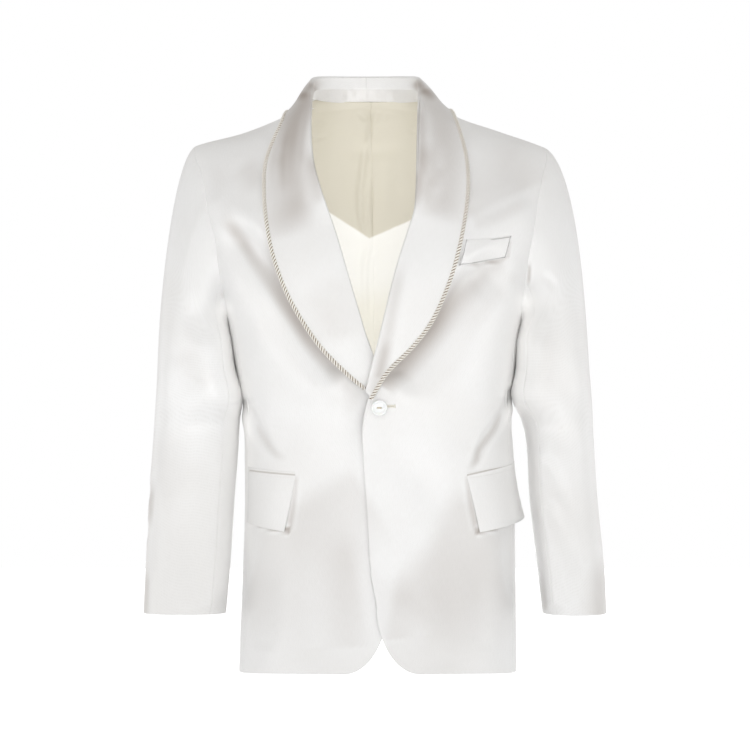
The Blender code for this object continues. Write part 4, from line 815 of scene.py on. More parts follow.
def clothMesh(name, grid, wall, shade=None):
    # a wall of even thickness round a grid of points, its free edges rounded over
    grid = grid.copy()
    normal = gridNormals(grid)
    half = wall / 2
    shade = np.zeros(grid.shape[:2]) if shade is None else shade
    outwards = np.zeros_like(grid)
    room = np.full(grid.shape[:2], half)   # how far each edge can move in before it meets the next row
    whole = slice(None)
    for edge, inner in ((0, 1), (-1, -2)):
        for here, beside in ((edge, inner), ((whole, edge), (whole, inner))):
            step = grid[here] - grid[beside]
            outwards[here] += unit(step)
            room[here] = np.minimum(room[here], 0.6 * np.linalg.norm(step, axis=-1))
    outwards = unit(outwards)
    grid -= outwards * room[..., None]
    rows, columns = grid.shape[:2]
    index = np.arange(rows * columns).reshape(rows, columns)
    loop = np.concatenate((index[0, :-1], index[:-1, -1], index[-1, ::-1][:-1], index[::-1, 0][:-1]))
    flat, flatNormal, flatOut = (a.reshape(-1, 3) for a in (grid, normal, outwards))
    rims = []
    for turn in map(math.radians, (45, 90, 135)):
        rims.append(flat[loop] + (flatNormal[loop] * math.cos(turn) + flatOut[loop] * math.sin(turn)) * half)
    points = np.concatenate((flat + flatNormal * half, flat - flatNormal * half, *rims))
    count, edge = rows * columns, len(loop)
    a = index[:-1, :-1].ravel()
    quads = np.stack((a, a + 1, a + columns + 1, a + columns), axis=1)
    under = quads[:, ::-1] + count
    rings = [loop, *(2 * count + i * edge + np.arange(edge) for i in range(3)), loop + count]
    sides = [np.stack((low, high, np.roll(high, -1), np.roll(low, -1)), axis=1)
             for low, high in zip(rings[:-1], rings[1:])]
    faces = np.concatenate((quads, under, *sides))
    # metres along the cloth, for the weave
    across = np.cumsum(np.pad(np.linalg.norm(np.diff(grid, axis=1), axis=-1), ((0, 0), (1, 0))), axis=1)
    along = np.cumsum(np.pad(np.linalg.norm(np.diff(grid, axis=0), axis=-1), ((1, 0), (0, 0))), axis=0)
    spots = np.stack((across, along), axis=-1).reshape(-1, 2)
    spots = np.concatenate((spots, spots, spots[loop], spots[loop], spots[loop]))
    mesh = bpy.data.meshes.new(name)
    mesh.from_pydata(points.tolist(), [], faces.tolist())
    layer = mesh.uv_layers.new(name="cut")
    corners = np.empty(len(mesh.loops), dtype=np.int32)
    mesh.loops.foreach_get("vertex_index", corners)
    layer.data.foreach_set("uv", spots[corners].astype(np.float32).ravel())
    # painted shade and painted light, kept as the mesh's shade attribute for its material
    tone = shade.ravel()
    tone = np.concatenate((tone, tone, *(tone[loop],) * 3))
    mesh.attributes.new("shade", "FLOAT", "POINT").data.foreach_set("value", tone.astype(np.float32))
    return closedMesh(mesh)


def measured(grid):
    # the cut of a piece: its width, its length and its area
    across = np.linalg.norm(np.diff(grid, axis=1), axis=-1).sum(axis=1).max()
    along = np.linalg.norm(np.diff(grid, axis=0), axis=-1).sum(axis=0).max()
    sides = np.cross(grid[1:, 1:] - grid[:-1, :-1], grid[1:, :-1] - grid[:-1, 1:])
    return float(across), float(along), float(np.linalg.norm(sides, axis=-1).sum() / 2)


def addPiece(name, mesh, material, nodes=()):
    piece = bpy.data.objects.new(name, mesh)
    jacket.objects.link(piece)
    mesh.materials.append(material)
    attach(piece, "root")
    if nodes:
        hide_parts(*nodes)
    return piece


def addCloth(name, grid, material, nodes, wall=cloth["wall"], length=None,
             shade="body", middle=0.0):
    # painted shade and painted light from the named table of bands
    tone = paintedShadingOf(grid, paintedShading[shade], middle) if shade else None
    piece = addPiece(name, clothMesh(name, grid, wall, tone), material, nodes)
    width, longest, area = measured(grid)
    length = length or longest
    print(f"{name}: cut {width:.3f} x {length:.3f} m, {area:.4f} m2")
    return piece


def carriedFrames(tangents):
    # two directions across a line at each of its points, carried along without twist
    first = np.empty_like(tangents)
    first[0] = unit(np.cross(tangents[0], (0.0, 0.0, 1.0)))
    for i in range(1, len(tangents)):
        first[i] = unit(first[i - 1] - tangents[i] * np.dot(first[i - 1], tangents[i]))
    return first, np.cross(tangents, first)


def tubeMesh(line, radius, around):
    return cordMesh(line, *carriedFrames(unit(np.gradient(line, axis=0))), radius, around)


def cordMesh(line, first, second, radius, around):
    # a round cord along a line, with metres along it and turns round it for its material
    angles = np.linspace(0, 2 * math.pi, around, endpoint=False)[None, :, None]
    ring = first[:, None] * np.cos(angles) + second[:, None] * np.sin(angles)
    verts = (line[:, None] + ring * radius).reshape(-1, 3)
    count = len(line)
    faces = []
    for i in range(count - 1):
        for j in range(around):
            k = (j + 1) % around
            faces.append((i * around + j, i * around + k, (i + 1) * around + k, (i + 1) * around + j))
    faces.append(tuple(range(around))[::-1])
    faces.append(tuple((count - 1) * around + j for j in range(around)))
    mesh = bpy.data.meshes.new("cord")
    mesh.from_pydata(verts.tolist(), [], faces)
    along = lengthsAlong(line)
    layer = mesh.uv_layers.new(name="cut")
    for face in mesh.polygons:
        columns = [mesh.loops[i].vertex_index % around for i in face.loop_indices]
        wraps = max(columns) - min(columns) > around / 2 and len(columns) == 4
        for i, column in zip(face.loop_indices, columns):
            row = mesh.loops[i].vertex_index // around
            turn = column + (around if wraps and column < around / 2 else 0)
            layer.data[i].uv = (along[row], turn / around)
    return closedMesh(mesh)


def meshFrom(shell, name):
    mesh = bpy.data.meshes.new(name)
    shell.to_mesh(mesh)
    shell.free()
    return mesh


def joinMeshes(name, meshes):
    whole = bmesh.new()
    for mesh in meshes:
        whole.from_mesh(mesh)
        bpy.data.meshes.remove(mesh)
    joined = meshFrom(whole, name)
    joined.shade_smooth()
    return joined


def pulledIn(grid, gap, *edges):
    # the named edges of a grid, moved in along the cloth
    grid = grid.copy()
    whole = slice(None)
    places = dict(low=(0, 1), top=(-1, -2), first=((whole, 0), (whole, 1)),
                  last=((whole, -1), (whole, -2)))
    for edge in edges:
        here, inner = places[edge]
        run = grid[inner] - grid[here]
        grid[here] += run * (gap / np.linalg.norm(run, axis=-1, keepdims=True))
    return grid


# shader maths: a wrapped socket, on which sums and products add Math nodes
class Wire:
    def __init__(self, tree, socket=None):
        self.tree = tree
        self.socket = socket

    def node(self, kind, settings=None, inputs=None, output=0):
        made = self.tree.nodes.new(kind)
        for name, value in (settings or {}).items():
            setattr(made, name, value)
        for name, value in (inputs or {}).items():
            if isinstance(value, Wire):
                self.tree.links.new(value.socket, made.inputs[name])
            else:
                made.inputs[name].default_value = value
        return Wire(self.tree, made.outputs[output] if made.outputs else None)

    def math(self, operation, *values):
        return self.node("ShaderNodeMath", dict(operation=operation), dict(enumerate(values)))

    def __add__(self, other):
        return self.math("ADD", self, other)

    def __sub__(self, other):
        return self.math("SUBTRACT", self, other)

    def __rsub__(self, other):
        return self.math("SUBTRACT", other, self)

    def __mul__(self, other):
        return self.math("MULTIPLY", self, other)

    __radd__ = __add__
    __rmul__ = __mul__

    def wave(self, length):
        # 0 to 1 and back over each length
        return self.math("SINE", self * (2 * math.pi / length)) * 0.5 + 0.5

    def over(self, low, high):
        # rises smoothly from 0 at low to 1 at high
        return self.node("ShaderNodeMapRange", dict(interpolation_type="SMOOTHSTEP"),
                         {0: self, 1: low, 2: high})

    def pick(self, low, high):
        # one colour where this is 0, the other where it is 1
        return self.node("ShaderNodeMix", dict(data_type="RGBA"), {0: self, 6: low, 7: high}, 2)

    def part(self, axis):
        return self.node("ShaderNodeSeparateXYZ", inputs={0: self}, output=axis)

    def noise(self, scale, detail=2.0, roughness=0.5):
        return self.node("ShaderNodeTexNoise", inputs={"Vector": self, "Scale": scale, "Detail": detail,
                                                       "Roughness": roughness})

    def stretched(self, *scale):
        return self.node("ShaderNodeVectorMath", dict(operation="MULTIPLY"), {0: self, 1: scale})

    def bump(self, strength, distance):
        return self.node("ShaderNodeBump",
                         inputs={"Height": self, "Strength": strength, "Distance": distance})


def colour(red, green, blue):
    return (red, green, blue, 1.0)


def startMaterial(name):
    material = bpy.data.materials.new(name)
    material.use_nodes = True
    material.node_tree.nodes.clear()
    wire = Wire(material.node_tree)
    place = wire.node("ShaderNodeTexCoord", output="Object")
    cut = wire.node("ShaderNodeUVMap", dict(uv_map="cut"))
    return material, wire, place, cut


def closeMaterial(wire, inputs):
    shader = wire.node("ShaderNodeBsdfPrincipled", inputs=inputs)
    wire.node("ShaderNodeOutputMaterial", inputs={"Surface": shader})


# the first two colours are the cloth's own tones, mixed by a random cloud; the third and fourth are painted:
# the dark of painted shade and the pale of painted light
satinLook = dict(light=colour(0.808, 0.808, 0.806), shade=colour(0.770, 0.764, 0.754),
                 paintedShadeColour=colour(0.270, 0.215, 0.175), paintedLightColour=colour(0.955, 0.950, 0.940),
                 roughness=0.36, metallic=0.12, specular=0.8, sheen=0.08, weave=0.00045,
                 hatch=0.0019, slant=0.62, hatchTone=0.34, hatchShade=colour(0.690, 0.682, 0.668),
                 stitch=0.005)
collarLook = dict(satinLook, light=colour(0.806, 0.806, 0.802), roughness=0.38, hatch=0.0021, slant=-0.35,
                  metallic=0.09, specular=0.6)


def satinMaterial(name, look, stitched=0.0):
    material, wire, place, cut = startMaterial(name)
    across, along = cut.part("X"), cut.part("Y")
    cloud = place.noise(6.0, 3.0).over(0.32, 0.72)
    slub = cut.stretched(1.0, 0.12, 1.0).noise(900.0, 2.0)
    twill = (across * math.cos(look["slant"]) + along * math.sin(look["slant"])).wave(look["hatch"])
    thread = across.wave(look["weave"]) * along.wave(look["weave"])
    tone = cloud.pick(look["light"], look["shade"])
    tone = (twill * look["hatchTone"] * slub.over(0.35, 0.65)).pick(tone, look["hatchShade"])
    # painted shade and painted light from the cloth's shade attribute: above 0 darker towards the painted
    # shade colour, below 0 lighter towards the painted light colour
    paintedShadeAndLight = wire.node("ShaderNodeAttribute", dict(attribute_name="shade"), output="Fac")
    tone = paintedShadeAndLight.pick(tone, look["paintedShadeColour"])
    tone = (paintedShadeAndLight * -1).pick(tone, look["paintedLightColour"])
    height = thread * 0.35 + twill * 0.25 + slub * 0.4
    if stitched:
        # pick stitches in a row beside the front edge, darkened with painted shade and pressed in by the
        # bump
        row = 1 - wire.math("ABSOLUTE", across - stitched).over(0.0003, 0.0007)
        stitches = row * along.wave(look["stitch"]).over(0.55, 0.80)
        tone = (stitches * 0.30).pick(tone, look["paintedShadeColour"])
        height = height - stitches * 2.0
    closeMaterial(wire, {
        "Base Color": tone, "Roughness": look["roughness"] + cloud * 0.05 + slub * 0.04,
        "Normal": height.bump(0.20, 0.00025),
        "Specular IOR Level": look["specular"], "Metallic": look["metallic"],
        "Sheen Weight": look["sheen"], "Sheen Roughness": 0.45,
        "Anisotropic": 0.25,
    })
    return material


# colours of the lining's painted shadow, its painted patch of light and the painted shade lower down, and
# the V-shaped line between shadow and light
liningLook = dict(shadow=colour(0.640, 0.605, 0.510), paintedLightPatch=colour(0.930, 0.925, 0.895),
                  low=colour(0.900, 0.880, 0.800), point=(-0.005, -0.153), leftSlope=0.64, rightSlope=0.43)


def liningMaterial(name, look):
    material, wire, place, cut = startMaterial(name)
    x, z = place.part("X"), place.part("Z")
    pointX, pointZ = look["point"]
    fromPoint = x - pointX
    edge = wire.math("MAXIMUM", fromPoint * -look["leftSlope"], fromPoint * look["rightSlope"])
    # painted shadow above a V-shaped line through the point; below it a painted patch of light, darkening to
    # painted shade lower down; a random cloud darkens it a little more
    above = (z - pointZ - edge + place.noise(60.0) * 0.002).over(-0.0012, 0.0028)
    paintedShadeBelow = (z * -1).over(0.200, 0.262)
    grain = cut.stretched(1.0, 0.05, 1.0).noise(1400.0, 2.0)
    paintedLightPatch = paintedShadeBelow.pick(look["paintedLightPatch"], look["low"])
    tone = above.pick(paintedLightPatch, look["shadow"])
    cloud = place.noise(14.0, 3.0).over(0.3, 0.75) * 0.10
    tone = cloud.pick(tone, look["shadow"])
    height = grain * 0.6 + cut.part("X").wave(0.0006) * 0.4
    closeMaterial(wire, {"Base Color": tone, "Roughness": 0.42 + grain * 0.08,
                         "Normal": height.bump(0.10, 0.0002), "Specular IOR Level": 0.4})
    return material


# light is the yarn's colour, deep the painted shade between the strands
cordLook = dict(light=colour(0.860, 0.835, 0.780), deep=colour(0.250, 0.185, 0.120), fibre=0.00035)


def cordMaterial(name, look):
    material, wire, place, cut = startMaterial(name)
    turn = cut.part("Y")
    fibre = (cut.part("X") + turn * 0.0016).wave(look["fibre"] * 2)
    # painted shade on each strand's side towards the other strands
    paintedGrooveShade = wire.math("COSINE", turn * (2 * math.pi)) * 0.5 + 0.5
    deep = paintedGrooveShade.over(0.13, 0.34)
    fuzz = place.noise(700.0, 3.0)
    tone = (fuzz.over(0.35, 0.8) * 0.25).pick(look["light"], colour(0.62, 0.57, 0.48))
    tone = deep.pick(tone, look["deep"])
    closeMaterial(wire, {"Base Color": tone, "Roughness": 0.55 + fuzz * 0.2,
                         "Normal": (fibre * 0.6 + fuzz * 0.6).bump(0.5, 0.0003), "Sheen Weight": 0.2})
    return material


def threadMaterial(name, light, deep):
    material, wire, place, cut = startMaterial(name)
    fuzz = place.noise(900.0, 3.0)
    twist = (cut.part("X") + cut.part("Y") * 0.0008).wave(0.0008)
    closeMaterial(wire, {"Base Color": (fuzz.over(0.3, 0.7) * 0.6).pick(light, deep),
                         "Roughness": 0.6 + fuzz * 0.2, "Normal": (twist + fuzz).bump(0.4, 0.0002)})
    return material


buttonLook = dict(light=colour(0.900, 0.895, 0.885), milk=colour(0.830, 0.825, 0.815), roughness=0.16)


def buttonMaterial(name, look):
    material, wire, place, _ = startMaterial(name)
    swirl = place.stretched(1.0, 1.0, 1.7).noise(190.0, 4.0, 0.6).over(0.35, 0.7)
    closeMaterial(wire, {"Base Color": swirl.pick(look["light"], look["milk"]),
                         "Roughness": look["roughness"] + place.noise(900.0) * 0.06,
                         "Normal": swirl.bump(0.05, 0.0002), "Coat Weight": 0.3, "Coat Roughness": 0.08,
                         "Subsurface Weight": 0.1})
    return material


satin = satinMaterial("satin", satinLook)
frontSatin = satinMaterial("frontSatin", satinLook, 0.0062)
collarSatin = satinMaterial("collarSatin", collarLook)
liningCloth = liningMaterial("lining", liningLook)
ropeYarn = cordMaterial("ropeYarn", cordLook)
sewingThread = threadMaterial("sewingThread", colour(0.70, 0.64, 0.52), colour(0.46, 0.39, 0.29))
buttonholeThread = threadMaterial("buttonholeThread", colour(0.86, 0.84, 0.77), colour(0.72, 0.68, 0.58))
pearl = buttonMaterial("pearl", buttonLook)
print("materials made")


# body panels and sleeves, each hand in turn
fine = dict(bodyRows=110, chestRows=84, columns=68, sideColumns=36, headRows=90, armRows=104,
            topSleeve=88, underSleeve=46, chestEase=1.9, backChestEase=2.3)
bodyRows = spread(fine["bodyRows"], 0.46)
chestRows = 1 - (1 - spread(fine["chestRows"], 0.20)) ** fine["chestEase"]
backChestRows = 1 - (1 - spread(fine["chestRows"], 0.20)) ** fine["backChestEase"]
columns = spread(fine["columns"], 0.18)
hands = dict(left=1, right=-1)


def addBody(name, hand):
    word = name.capitalize()
    front = bodyDrape(frontGrid(hand, bodyRows, chestRows, columns))
    back = bodyDrape(backGrid(hand, bodyRows, backChestRows, columns))
    count = len(bodyRows)
    seams = front[:count, -1], back[:count, -1]
    flat = sideGrid(hand, spread(fine["sideColumns"], 0.09), bodyRows, *seams)
    side = bodyDrape(flat)
    side[:, 0], side[:, -1] = seams
    half = cloth["seam"] / 2
    addCloth(f"front{word}", pulledIn(front, half, "top", "last"), frontSatin, [f"front_{name}"])
    addCloth(f"back{word}", pulledIn(back, half, "top", "first", "last"), satin, [f"back_{name}"])
    addCloth(f"sidePanel{word}", pulledIn(side, half, "first", "last"), satin,
             [f"side_panel_{name}"])
    loop = np.concatenate((front[count - 1:, -1][::-1], side[-1, 1:-1], back[count - 1:, -1]))
    seam, backSeam = sleeve["frontSeam"], sleeve["backSeam"]
    headRows, armRows = spread(fine["headRows"], 0.22), spread(fine["armRows"], 0.35)
    parts = (("top", -backSeam, seam, spread(fine["topSleeve"], 0.22)),
             ("under", seam, 360 - backSeam, spread(fine["underSleeve"], 0.12)))
    for part, fromAngle, toAngle, shares in parts:
        grid = sleeveGrid(hand, loop, fromAngle, toAngle, shares, headRows, armRows)
        addCloth(f"{part}Sleeve{word}", pulledIn(grid, half, "first", "last"), satin,
                 [f"{part}_sleeve_{name}"],
                 middle=np.mean(grid[..., 1], axis=1, keepdims=True) - sleeve["paintedShadeMiddle"])


for name, hand in hands.items():
    addBody(name, hand)
print("body and sleeves made")


# collar halves, the band inside them and the rope round them
collarInner = np.linspace(0.0, 1.0, 6)[:-1]
collarRoll = np.linspace(0.0, 1.0, 12)
collarOuter = spread(44, 0.12)[1:]
collarGrids, ropeLines = {}, {}
for name, hand in hands.items():
    grid, line = collarSections(hand, collar["stations"], collarInner, collarRoll, collarOuter)
    collarGrids[name], ropeLines[name] = grid, line
    addCloth(f"shawlCollar{name.capitalize()}", pulledIn(grid, cloth["seam"] / 2, "top"), collarSatin,
             [f"shawl_collar_{name}"],
             shade="collar", middle=collar["paintedShadeMiddle"])


def addBand():
    halves = [collarGrids[name][:, 0] for name in ("right", "left")]
    right, left = [half[half[:, 1] > band["fromY"]] for half in halves]
    grid = bandGrid(np.concatenate((right, left[:-1][::-1])), spread(band["rows"], 0.035))
    x, z = grid[..., 0], grid[..., 2]
    fall = np.linspace(0.0, 1.0, len(grid))[:, None]
    ripple = (np.sin(x * 310 + z * 190) + 0.8 * np.sin(x * 173 - z * 260 + 1.7)
              + 0.6 * np.sin(x * 520 + 0.4))
    grid = grid + gridNormals(grid) * (ripple * band["wrinkle"] * np.sin(math.pi * fall) ** 0.7)[..., None]
    addCloth("neckBand", grid, collarSatin, ["neck_band"],
             length=band["depth"], shade="band")


addBand()


def addRope(line):
    # strands twisted round the line
    lengths = lengthsAlong(line)
    along = np.linspace(0.0, lengths[-1], int(lengths[-1] / rope["step"]))
    middle = np.stack([np.interp(along, lengths, line[:, i]) for i in range(3)], axis=-1)
    for _ in range(rope["smoothings"]):   # rounds off the corners between the line's points
        middle[1:-1] = (middle[:-2] + 2 * middle[1:-1] + middle[2:]) / 4
    first, second = carriedFrames(unit(np.gradient(middle, axis=0)))
    reach = rope["radius"] - rope["strandRadius"]
    strands = []
    for k in range(rope["strands"]):
        turn = 2 * math.pi * (along / rope["pitch"] + k / rope["strands"])
        out = first * np.cos(turn)[:, None] + second * np.sin(turn)[:, None]
        path = middle + out * reach
        ahead = unit(np.gradient(path, axis=0))
        inward = -unit(out - ahead * np.sum(out * ahead, axis=1, keepdims=True))
        strands.append(cordMesh(path, inward, np.cross(ahead, inward), rope["strandRadius"],
                                rope["around"]))
    addPiece("ropeTrim", joinMeshes("ropeTrim", strands), ropeYarn, ["rope_trim"])
    print(f"rope trim {lengths[-1]:.3f} m long, sewn to the collar's edge")


addRope(np.concatenate((ropeLines["right"], ropeLines["left"][:-1][::-1])))
print("collar made")


# back lining, which the neck opening shows
lining = dict(inside=0.0034, short=0.003, topZ=0.0245, rise=0.014, outwards=0.0007, rows=96,
              chestRows=100, columns=46, chestEase=1.7, columnEase=1.15, tuckedShare=9,
              foldsFrom=0.02, foldsOver=0.04)
liningFolds = (
    softLine(3.2, 3, 0.15, 0.12, (-10, -29), (-13, -56), (-17, -90), (-16.5, -122), (-8.5, -156)),
    softLine(2.8, 2.6, 0.3, 0.2, (-5.5, -70), (-7, -100), (-4.5, -130), (-4, -156)),
    softLine(2.6, -2, 0.2, 0.3, (-5, 12), (-4.5, -10), (-7, -33)),
    softLine(3, 2.4, 0.08, 0.4, (-5, -160), (-11, -190), (-10, -230), (-10.5, -290)),
    softLine(3.4, 2, 0.3, 0.3, (-18, 15), (-12, 6), (-4, 2)),
    softLine(3.4, 1.8, 0.3, 0.3, (8, 15), (4, 7), (2, -4)),
    softLine(3, 1.3, 0.3, 0.3, (24, 13), (17, 6), (13, 0)),
    softLine(2.6, 1.4, 0.3, 0.4, (-86, -2), (-74, -4), (-64, -3)),
    softLine(2.8, 1.4, 0.3, 0.5, (-88, -23), (-72, -22), (-56, -19)),
    softLine(2.6, 1.3, 0.3, 0.4, (64, -10), (56, -13), (47, -12)),
    softLine(8, -1.2, 0.4, 0.4, (-32, -30), (-29, -90), (-23, -140)),
    softLine(9, 1, 0.4, 0.4, (18, -25), (16, -90), (12, -140)),
)


def addLining(name, hand):
    rows = np.linspace(0.0, 1.0, lining["rows"])
    upper = 1 - (1 - np.linspace(0.0, 1.0, lining["chestRows"])) ** lining["chestEase"]
    across = np.linspace(0.0, 1.0, lining["columns"]) ** lining["columnEase"]
    grid = bodyDrape(backGrid(hand, rows, upper, across, -lining["inside"]))
    inwards = foldDepth(liningFolds, grid[..., 0], grid[..., 2])
    grid[..., 1] -= inwards * smoothStep((grid[..., 1] - lining["foldsFrom"]) / lining["foldsOver"])
    grid = pulledIn(grid, lining["short"], "low", "last")
    # its top tucked up to the band
    rise = smoothStep(np.linspace(1 - len(grid) / lining["tuckedShare"], 1, len(grid)))[:, None]
    rise = rise * smoothStep(grid[-1, :, 1] / lining["foldsFrom"])
    grid[..., 2] += rise * np.clip(lining["topZ"] - grid[-1, :, 2], 0.0, lining["rise"])
    grid[..., 1] -= rise * lining["outwards"]
    addCloth(f"backLining{name.capitalize()}", pulledIn(grid, cloth["seam"] / 2, "first"), liningCloth,
             [f"back_lining_{name}"], wall=cloth["liningWall"],
             shade=None)


for name, hand in hands.items():
    addLining(name, hand)
print("lining made")


# pockets: a jet and a flap on each side, and the breast welt
pocketFine = dict(across=44, down=34, jetDown=8, flapPuff=0.0010, jetPuff=0.0005)


def addPocket(name, hand):
    word = name.capitalize()
    across = spread(pocketFine["across"], 0.08)
    down = spread(pocketFine["jetDown"], 0.0062, 0.0006)
    jet = bodyDrape(pocketGrid(hand, 0, 1, across, down, False, pocketFine["jetPuff"]))
    mesh = clothMesh("jet", jet, cloth["trimWall"], paintedShadingOf(jet, paintedShading["trim"]))
    # too narrow for a sheet
    addPiece(f"pocketJet{word}", mesh, satin, [f"pocket_jet_{name}"])   # made without addCloth, so no cut is printed for it
    flap = pocketGrid(hand, 1, 2, across, spread(pocketFine["down"], 0.068), True, pocketFine["flapPuff"])
    addCloth(f"pocketFlap{word}", pulledIn(bodyDrape(flap), cloth["seam"], "low"), satin,
             [f"pocket_flap_{name}"], wall=cloth["trimWall"], shade="trim")


for name, hand in hands.items():
    addPocket(name, hand)
welt = bodyDrape(weltGrid(spread(weltForm["columns"], 0.064), spread(weltForm["rows"], 0.031)))
# its top edge lies flatter than its lower one
welt[..., 1] += weltForm["topInset"] * smoothStep((welt[..., 2] - welt[..., 2].min()) / np.ptp(welt[..., 2]))
addCloth("breastWelt", welt, satin, ["breast_welt"],
         wall=cloth["trimWall"], shade=None)
print("pockets made")


# button with a raised rim and two holes, its thread, and the buttonhole
button = dict(x=0.0080, z=-0.378, radius=0.0102, thickness=0.0034, lift=0.0026, hole=0.0012,
              spacing=0.0048, dish=0.60, threadRadius=0.00038, segments=72)
# share of the radius, share of the thickness
buttonProfile = ((0.0, 0.60), (0.30, 0.60), (0.52, 0.605), (0.63, 0.63), (0.70, 0.71), (0.755, 0.85),
                 (0.80, 0.955), (0.85, 1.0), (0.90, 0.985), (0.95, 0.91), (0.985, 0.78), (1.0, 0.60),
                 (0.995, 0.42), (0.97, 0.24), (0.91, 0.08), (0.82, 0.0), (0.0, 0.0))


def buttonPlace():
    centre = onBody(button["x"], button["z"], -1, button["lift"])
    normal = bodyNormal(np.float64(button["x"]), np.float64(button["z"]), -1)
    return Matrix.Translation(centre) @ Vector(normal).to_track_quat("Z", "Y").to_matrix().to_4x4()


def evaluated(piece):
    graph = bpy.context.evaluated_depsgraph_get()
    return bpy.data.meshes.new_from_object(piece.evaluated_get(graph))


def addButton():
    # turned, drilled, and set on the front
    lathe = bmesh.new()
    last = None
    segments = button["segments"]
    for share, height in buttonProfile:
        radius, z = share * button["radius"], height * button["thickness"]
        if share == 0.0:
            ring = [lathe.verts.new((0.0, 0.0, z))] * segments
        else:
            ring = [lathe.verts.new((radius * math.cos(2 * math.pi * i / segments),
                                     radius * math.sin(2 * math.pi * i / segments), z))
                    for i in range(segments)]
        if last:
            for i in range(segments):
                k = (i + 1) % segments
                corners = [last[i], last[k], ring[k], ring[i]]
                lathe.faces.new(list(dict.fromkeys(corners)))
        last = ring
    bmesh.ops.recalc_face_normals(lathe, faces=lathe.faces)
    mesh = meshFrom(lathe, "button")
    holes = bmesh.new()
    for side in (-1, 1):
        made = bmesh.ops.create_cone(holes, cap_ends=True, segments=24, radius1=button["hole"],
                                     radius2=button["hole"], depth=button["thickness"] * 4)
        bmesh.ops.translate(holes, verts=made["verts"], vec=(side * button["spacing"] / 2, 0.0, 0.0))
    rough = bpy.data.objects.new("rough", mesh)
    cutter = bpy.data.objects.new("holes", meshFrom(holes, "holes"))
    jacket.objects.link(rough)
    jacket.objects.link(cutter)
    cut = rough.modifiers.new("holes", "BOOLEAN")
    cut.object, cut.operation = cutter, "DIFFERENCE"
    finished = evaluated(rough)
    bpy.data.objects.remove(rough)
    bpy.data.objects.remove(cutter)
    finished.transform(buttonPlace())
    finished.shade_smooth()
    finished.name = "button"
    finished.set_sharp_from_angle(angle=math.radians(50))
    addPiece("button", finished, pearl, ["button"])


def addThread():
    place = buttonPlace()
    half = button["spacing"] / 2
    low = -button["lift"] + 0.0010
    high = button["thickness"] * button["dish"] + button["threadRadius"]
    rise = ((-half * 0.9, low), (-half, 0.0), (-half * 0.98, high * 0.7), (-half * 0.78, high))
    shape = (*rise, (0.0, high + 0.0002), *((-a, b) for a, b in reversed(rise)))
    strands = []
    for sideways in (-0.00075, 0.0, 0.00075):
        points = smoothLine([(a, sideways * (1.0 - 0.25 * (abs(a) > half * 0.9)), b) for a, b in shape], 49)
        points = np.array([place @ Vector(point) for point in points])
        strands.append(tubeMesh(points, button["threadRadius"], 8))
    addPiece("buttonThread", joinMeshes("buttonThread", strands), sewingThread, ["button_thread"])


buttonhole = dict(start=0.0125, end=0.0272, z=-0.3763, half=0.0014, stitch=0.00042, spacing=0.00066,
                  slit=0.00025, overLip=0.0002, slant=0.0001, barHalf=0.0021, barStep=0.0004)


def addButtonhole():
    # close stitches over both lips, and a bar across the outer end
    stitches = []

    def addStitch(start, end, lifts):
        path = np.linspace(start, end, len(lifts))
        lifts = cloth["wall"] / 2 + buttonhole["stitch"] * 0.7 + np.array(lifts)
        stitches.append(tubeMesh(onBody(path[:, 0], path[:, 1], -1, lifts), buttonhole["stitch"], 6))
    for side in (-1, 1):
        for x in np.arange(buttonhole["start"], buttonhole["end"], buttonhole["spacing"]):
            near = buttonhole["z"] + side * buttonhole["slit"]
            far = buttonhole["z"] + side * (buttonhole["half"] + buttonhole["overLip"])
            addStitch((x, near), (x + buttonhole["slant"], far),
                      (-0.0004, 0.00005, 0.0001, 0.00005, -0.0004))
    for step in np.linspace(-1, 1, 5):
        x = buttonhole["end"] + (1 + step) * buttonhole["barStep"]
        addStitch((x, buttonhole["z"] - buttonhole["barHalf"]), (x, buttonhole["z"] + buttonhole["barHalf"]),
                  (-0.0005, 0.0, 0.0002, 0.0003, 0.0002, 0.0, -0.0005))
    addPiece("buttonhole", joinMeshes("buttonhole", stitches), buttonholeThread, ["buttonhole"])


addButton()
addThread()
addButtonhole()
print("button made")


# floor, light and surroundings
stage = dict(floorZ=-1.45, floorSize=24.0)
# long soft boxes round the jacket at the height of its waist, and one inside for the lining
# name, place, aim, size, power, spread in degrees
lights = (
    ("front", (0.0, -2.1, -0.60), (0.0, 0.0, -0.17), (2.2, 0.40), 0.55, 42),
    ("crossLeft", (-0.95, -2.0, -0.45), (0.10, 0.0, -0.40), (0.6, 0.5), 0.12, 42),
    ("crossRight", (0.95, -2.0, -0.45), (-0.10, 0.0, -0.40), (0.6, 0.5), 0.12, 42),
    ("left", (-2.0, -1.2, -0.50), (0.0, 0.0, -0.34), (1.4, 0.90), 4.0, 180),
    ("right", (2.0, -1.2, -0.50), (0.0, 0.0, -0.34), (1.4, 0.90), 4.0, 180),
    ("above", (0.0, -1.5, 1.30), (0.0, 0.0, -0.20), (1.4, 0.50), 5.0, 180),
    ("back", (0.0, 2.1, -0.60), (0.0, 0.0, -0.20), (2.2, 0.40), 0.8, 46),
    ("backLeft", (-2.0, 1.1, -0.30), (0.0, 0.0, -0.34), (1.4, 0.90), 2.5, 180),
    ("backRight", (2.0, 1.1, -0.30), (0.0, 0.0, -0.34), (1.4, 0.90), 2.5, 180),
    ("inside", (-0.005, -0.045, -0.17), (-0.005, 0.5, -0.17), (0.14, 0.36), 0.24, 180),
)


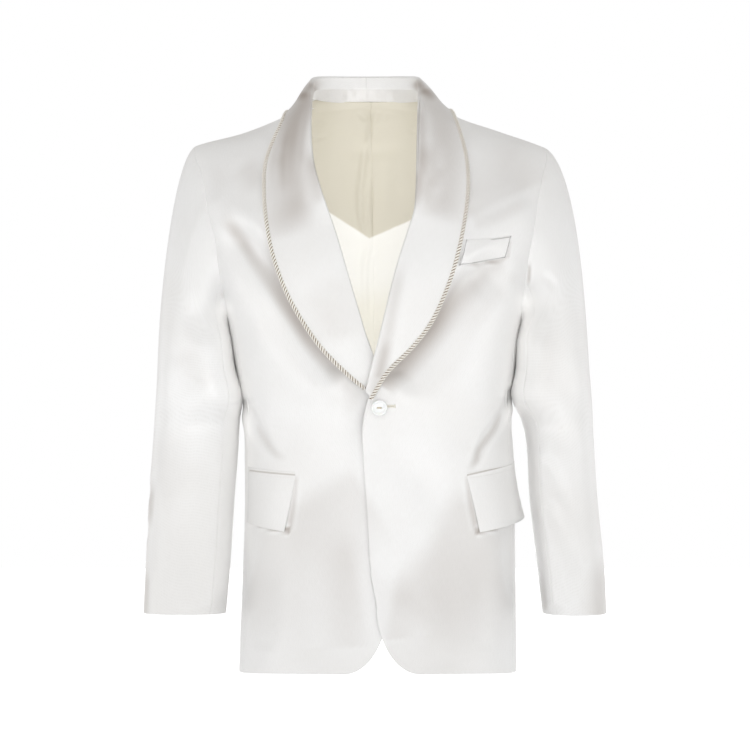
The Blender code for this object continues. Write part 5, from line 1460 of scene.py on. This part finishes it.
def addFloor():
    mesh = bpy.data.meshes.new("floor")
    half = stage["floorSize"] / 2
    corners = [(x * half, y * half, stage["floorZ"]) for x, y in ((-1, -1), (1, -1), (1, 1), (-1, 1))]
    mesh.from_pydata(corners, [], [(0, 1, 2, 3)])
    floor = bpy.data.objects.new("floor", mesh)
    scene.collection.objects.link(floor)
    material = bpy.data.materials.new("floorPaper")
    material.use_nodes = True
    material.node_tree.nodes.clear()
    wire = Wire(material.node_tree)
    seen = wire.node("ShaderNodeLightPath", output="Is Camera Ray")
    glow = seen.pick(colour(0.68, 0.68, 0.68), colour(1.0, 1.0, 1.0))
    closeMaterial(wire, {"Base Color": colour(0.4, 0.4, 0.4), "Roughness": 0.9,
                         "Emission Color": glow, "Emission Strength": 1.0})
    mesh.materials.append(material)


def addLight(name, place, aim, size, power, degrees):
    data = bpy.data.lights.new(name, "AREA")
    data.shape = "RECTANGLE"
    data.size, data.size_y = size
    data.energy = power
    data.spread = math.radians(degrees)
    light = bpy.data.objects.new(name, data)
    light.location = place
    towards = Vector(aim) - Vector(place)
    light.rotation_euler = towards.to_track_quat("-Z", "Y").to_euler()
    light.visible_camera = False
    scene.collection.objects.link(light)


def addSurroundings():
    # white where the camera looks; as light, bright round and below the jacket and darker above it
    world = bpy.data.worlds.new("studio")
    world.use_nodes = True
    world.node_tree.nodes.clear()
    scene.world = world
    wire = Wire(world.node_tree)
    up = wire.node("ShaderNodeTexCoord", output="Generated").part("Z")
    glow = up.over(-0.10, 0.70).pick(colour(0.74, 0.74, 0.74), colour(0.66, 0.65, 0.635))
    seen = wire.node("ShaderNodeLightPath", output="Is Camera Ray")
    light = wire.node("ShaderNodeBackground", inputs={"Color": glow, "Strength": 1.0})
    white = wire.node("ShaderNodeBackground", inputs={"Color": colour(1.0, 1.0, 1.0), "Strength": 1.0})
    mixed = wire.node("ShaderNodeMixShader", inputs={0: seen, 1: light, 2: white})
    wire.node("ShaderNodeOutputWorld", inputs={"Surface": mixed})


addFloor()
for row in lights:
    addLight(*row)
addSurroundings()
scene.view_settings.view_transform = "Standard"
print("stage and light set")
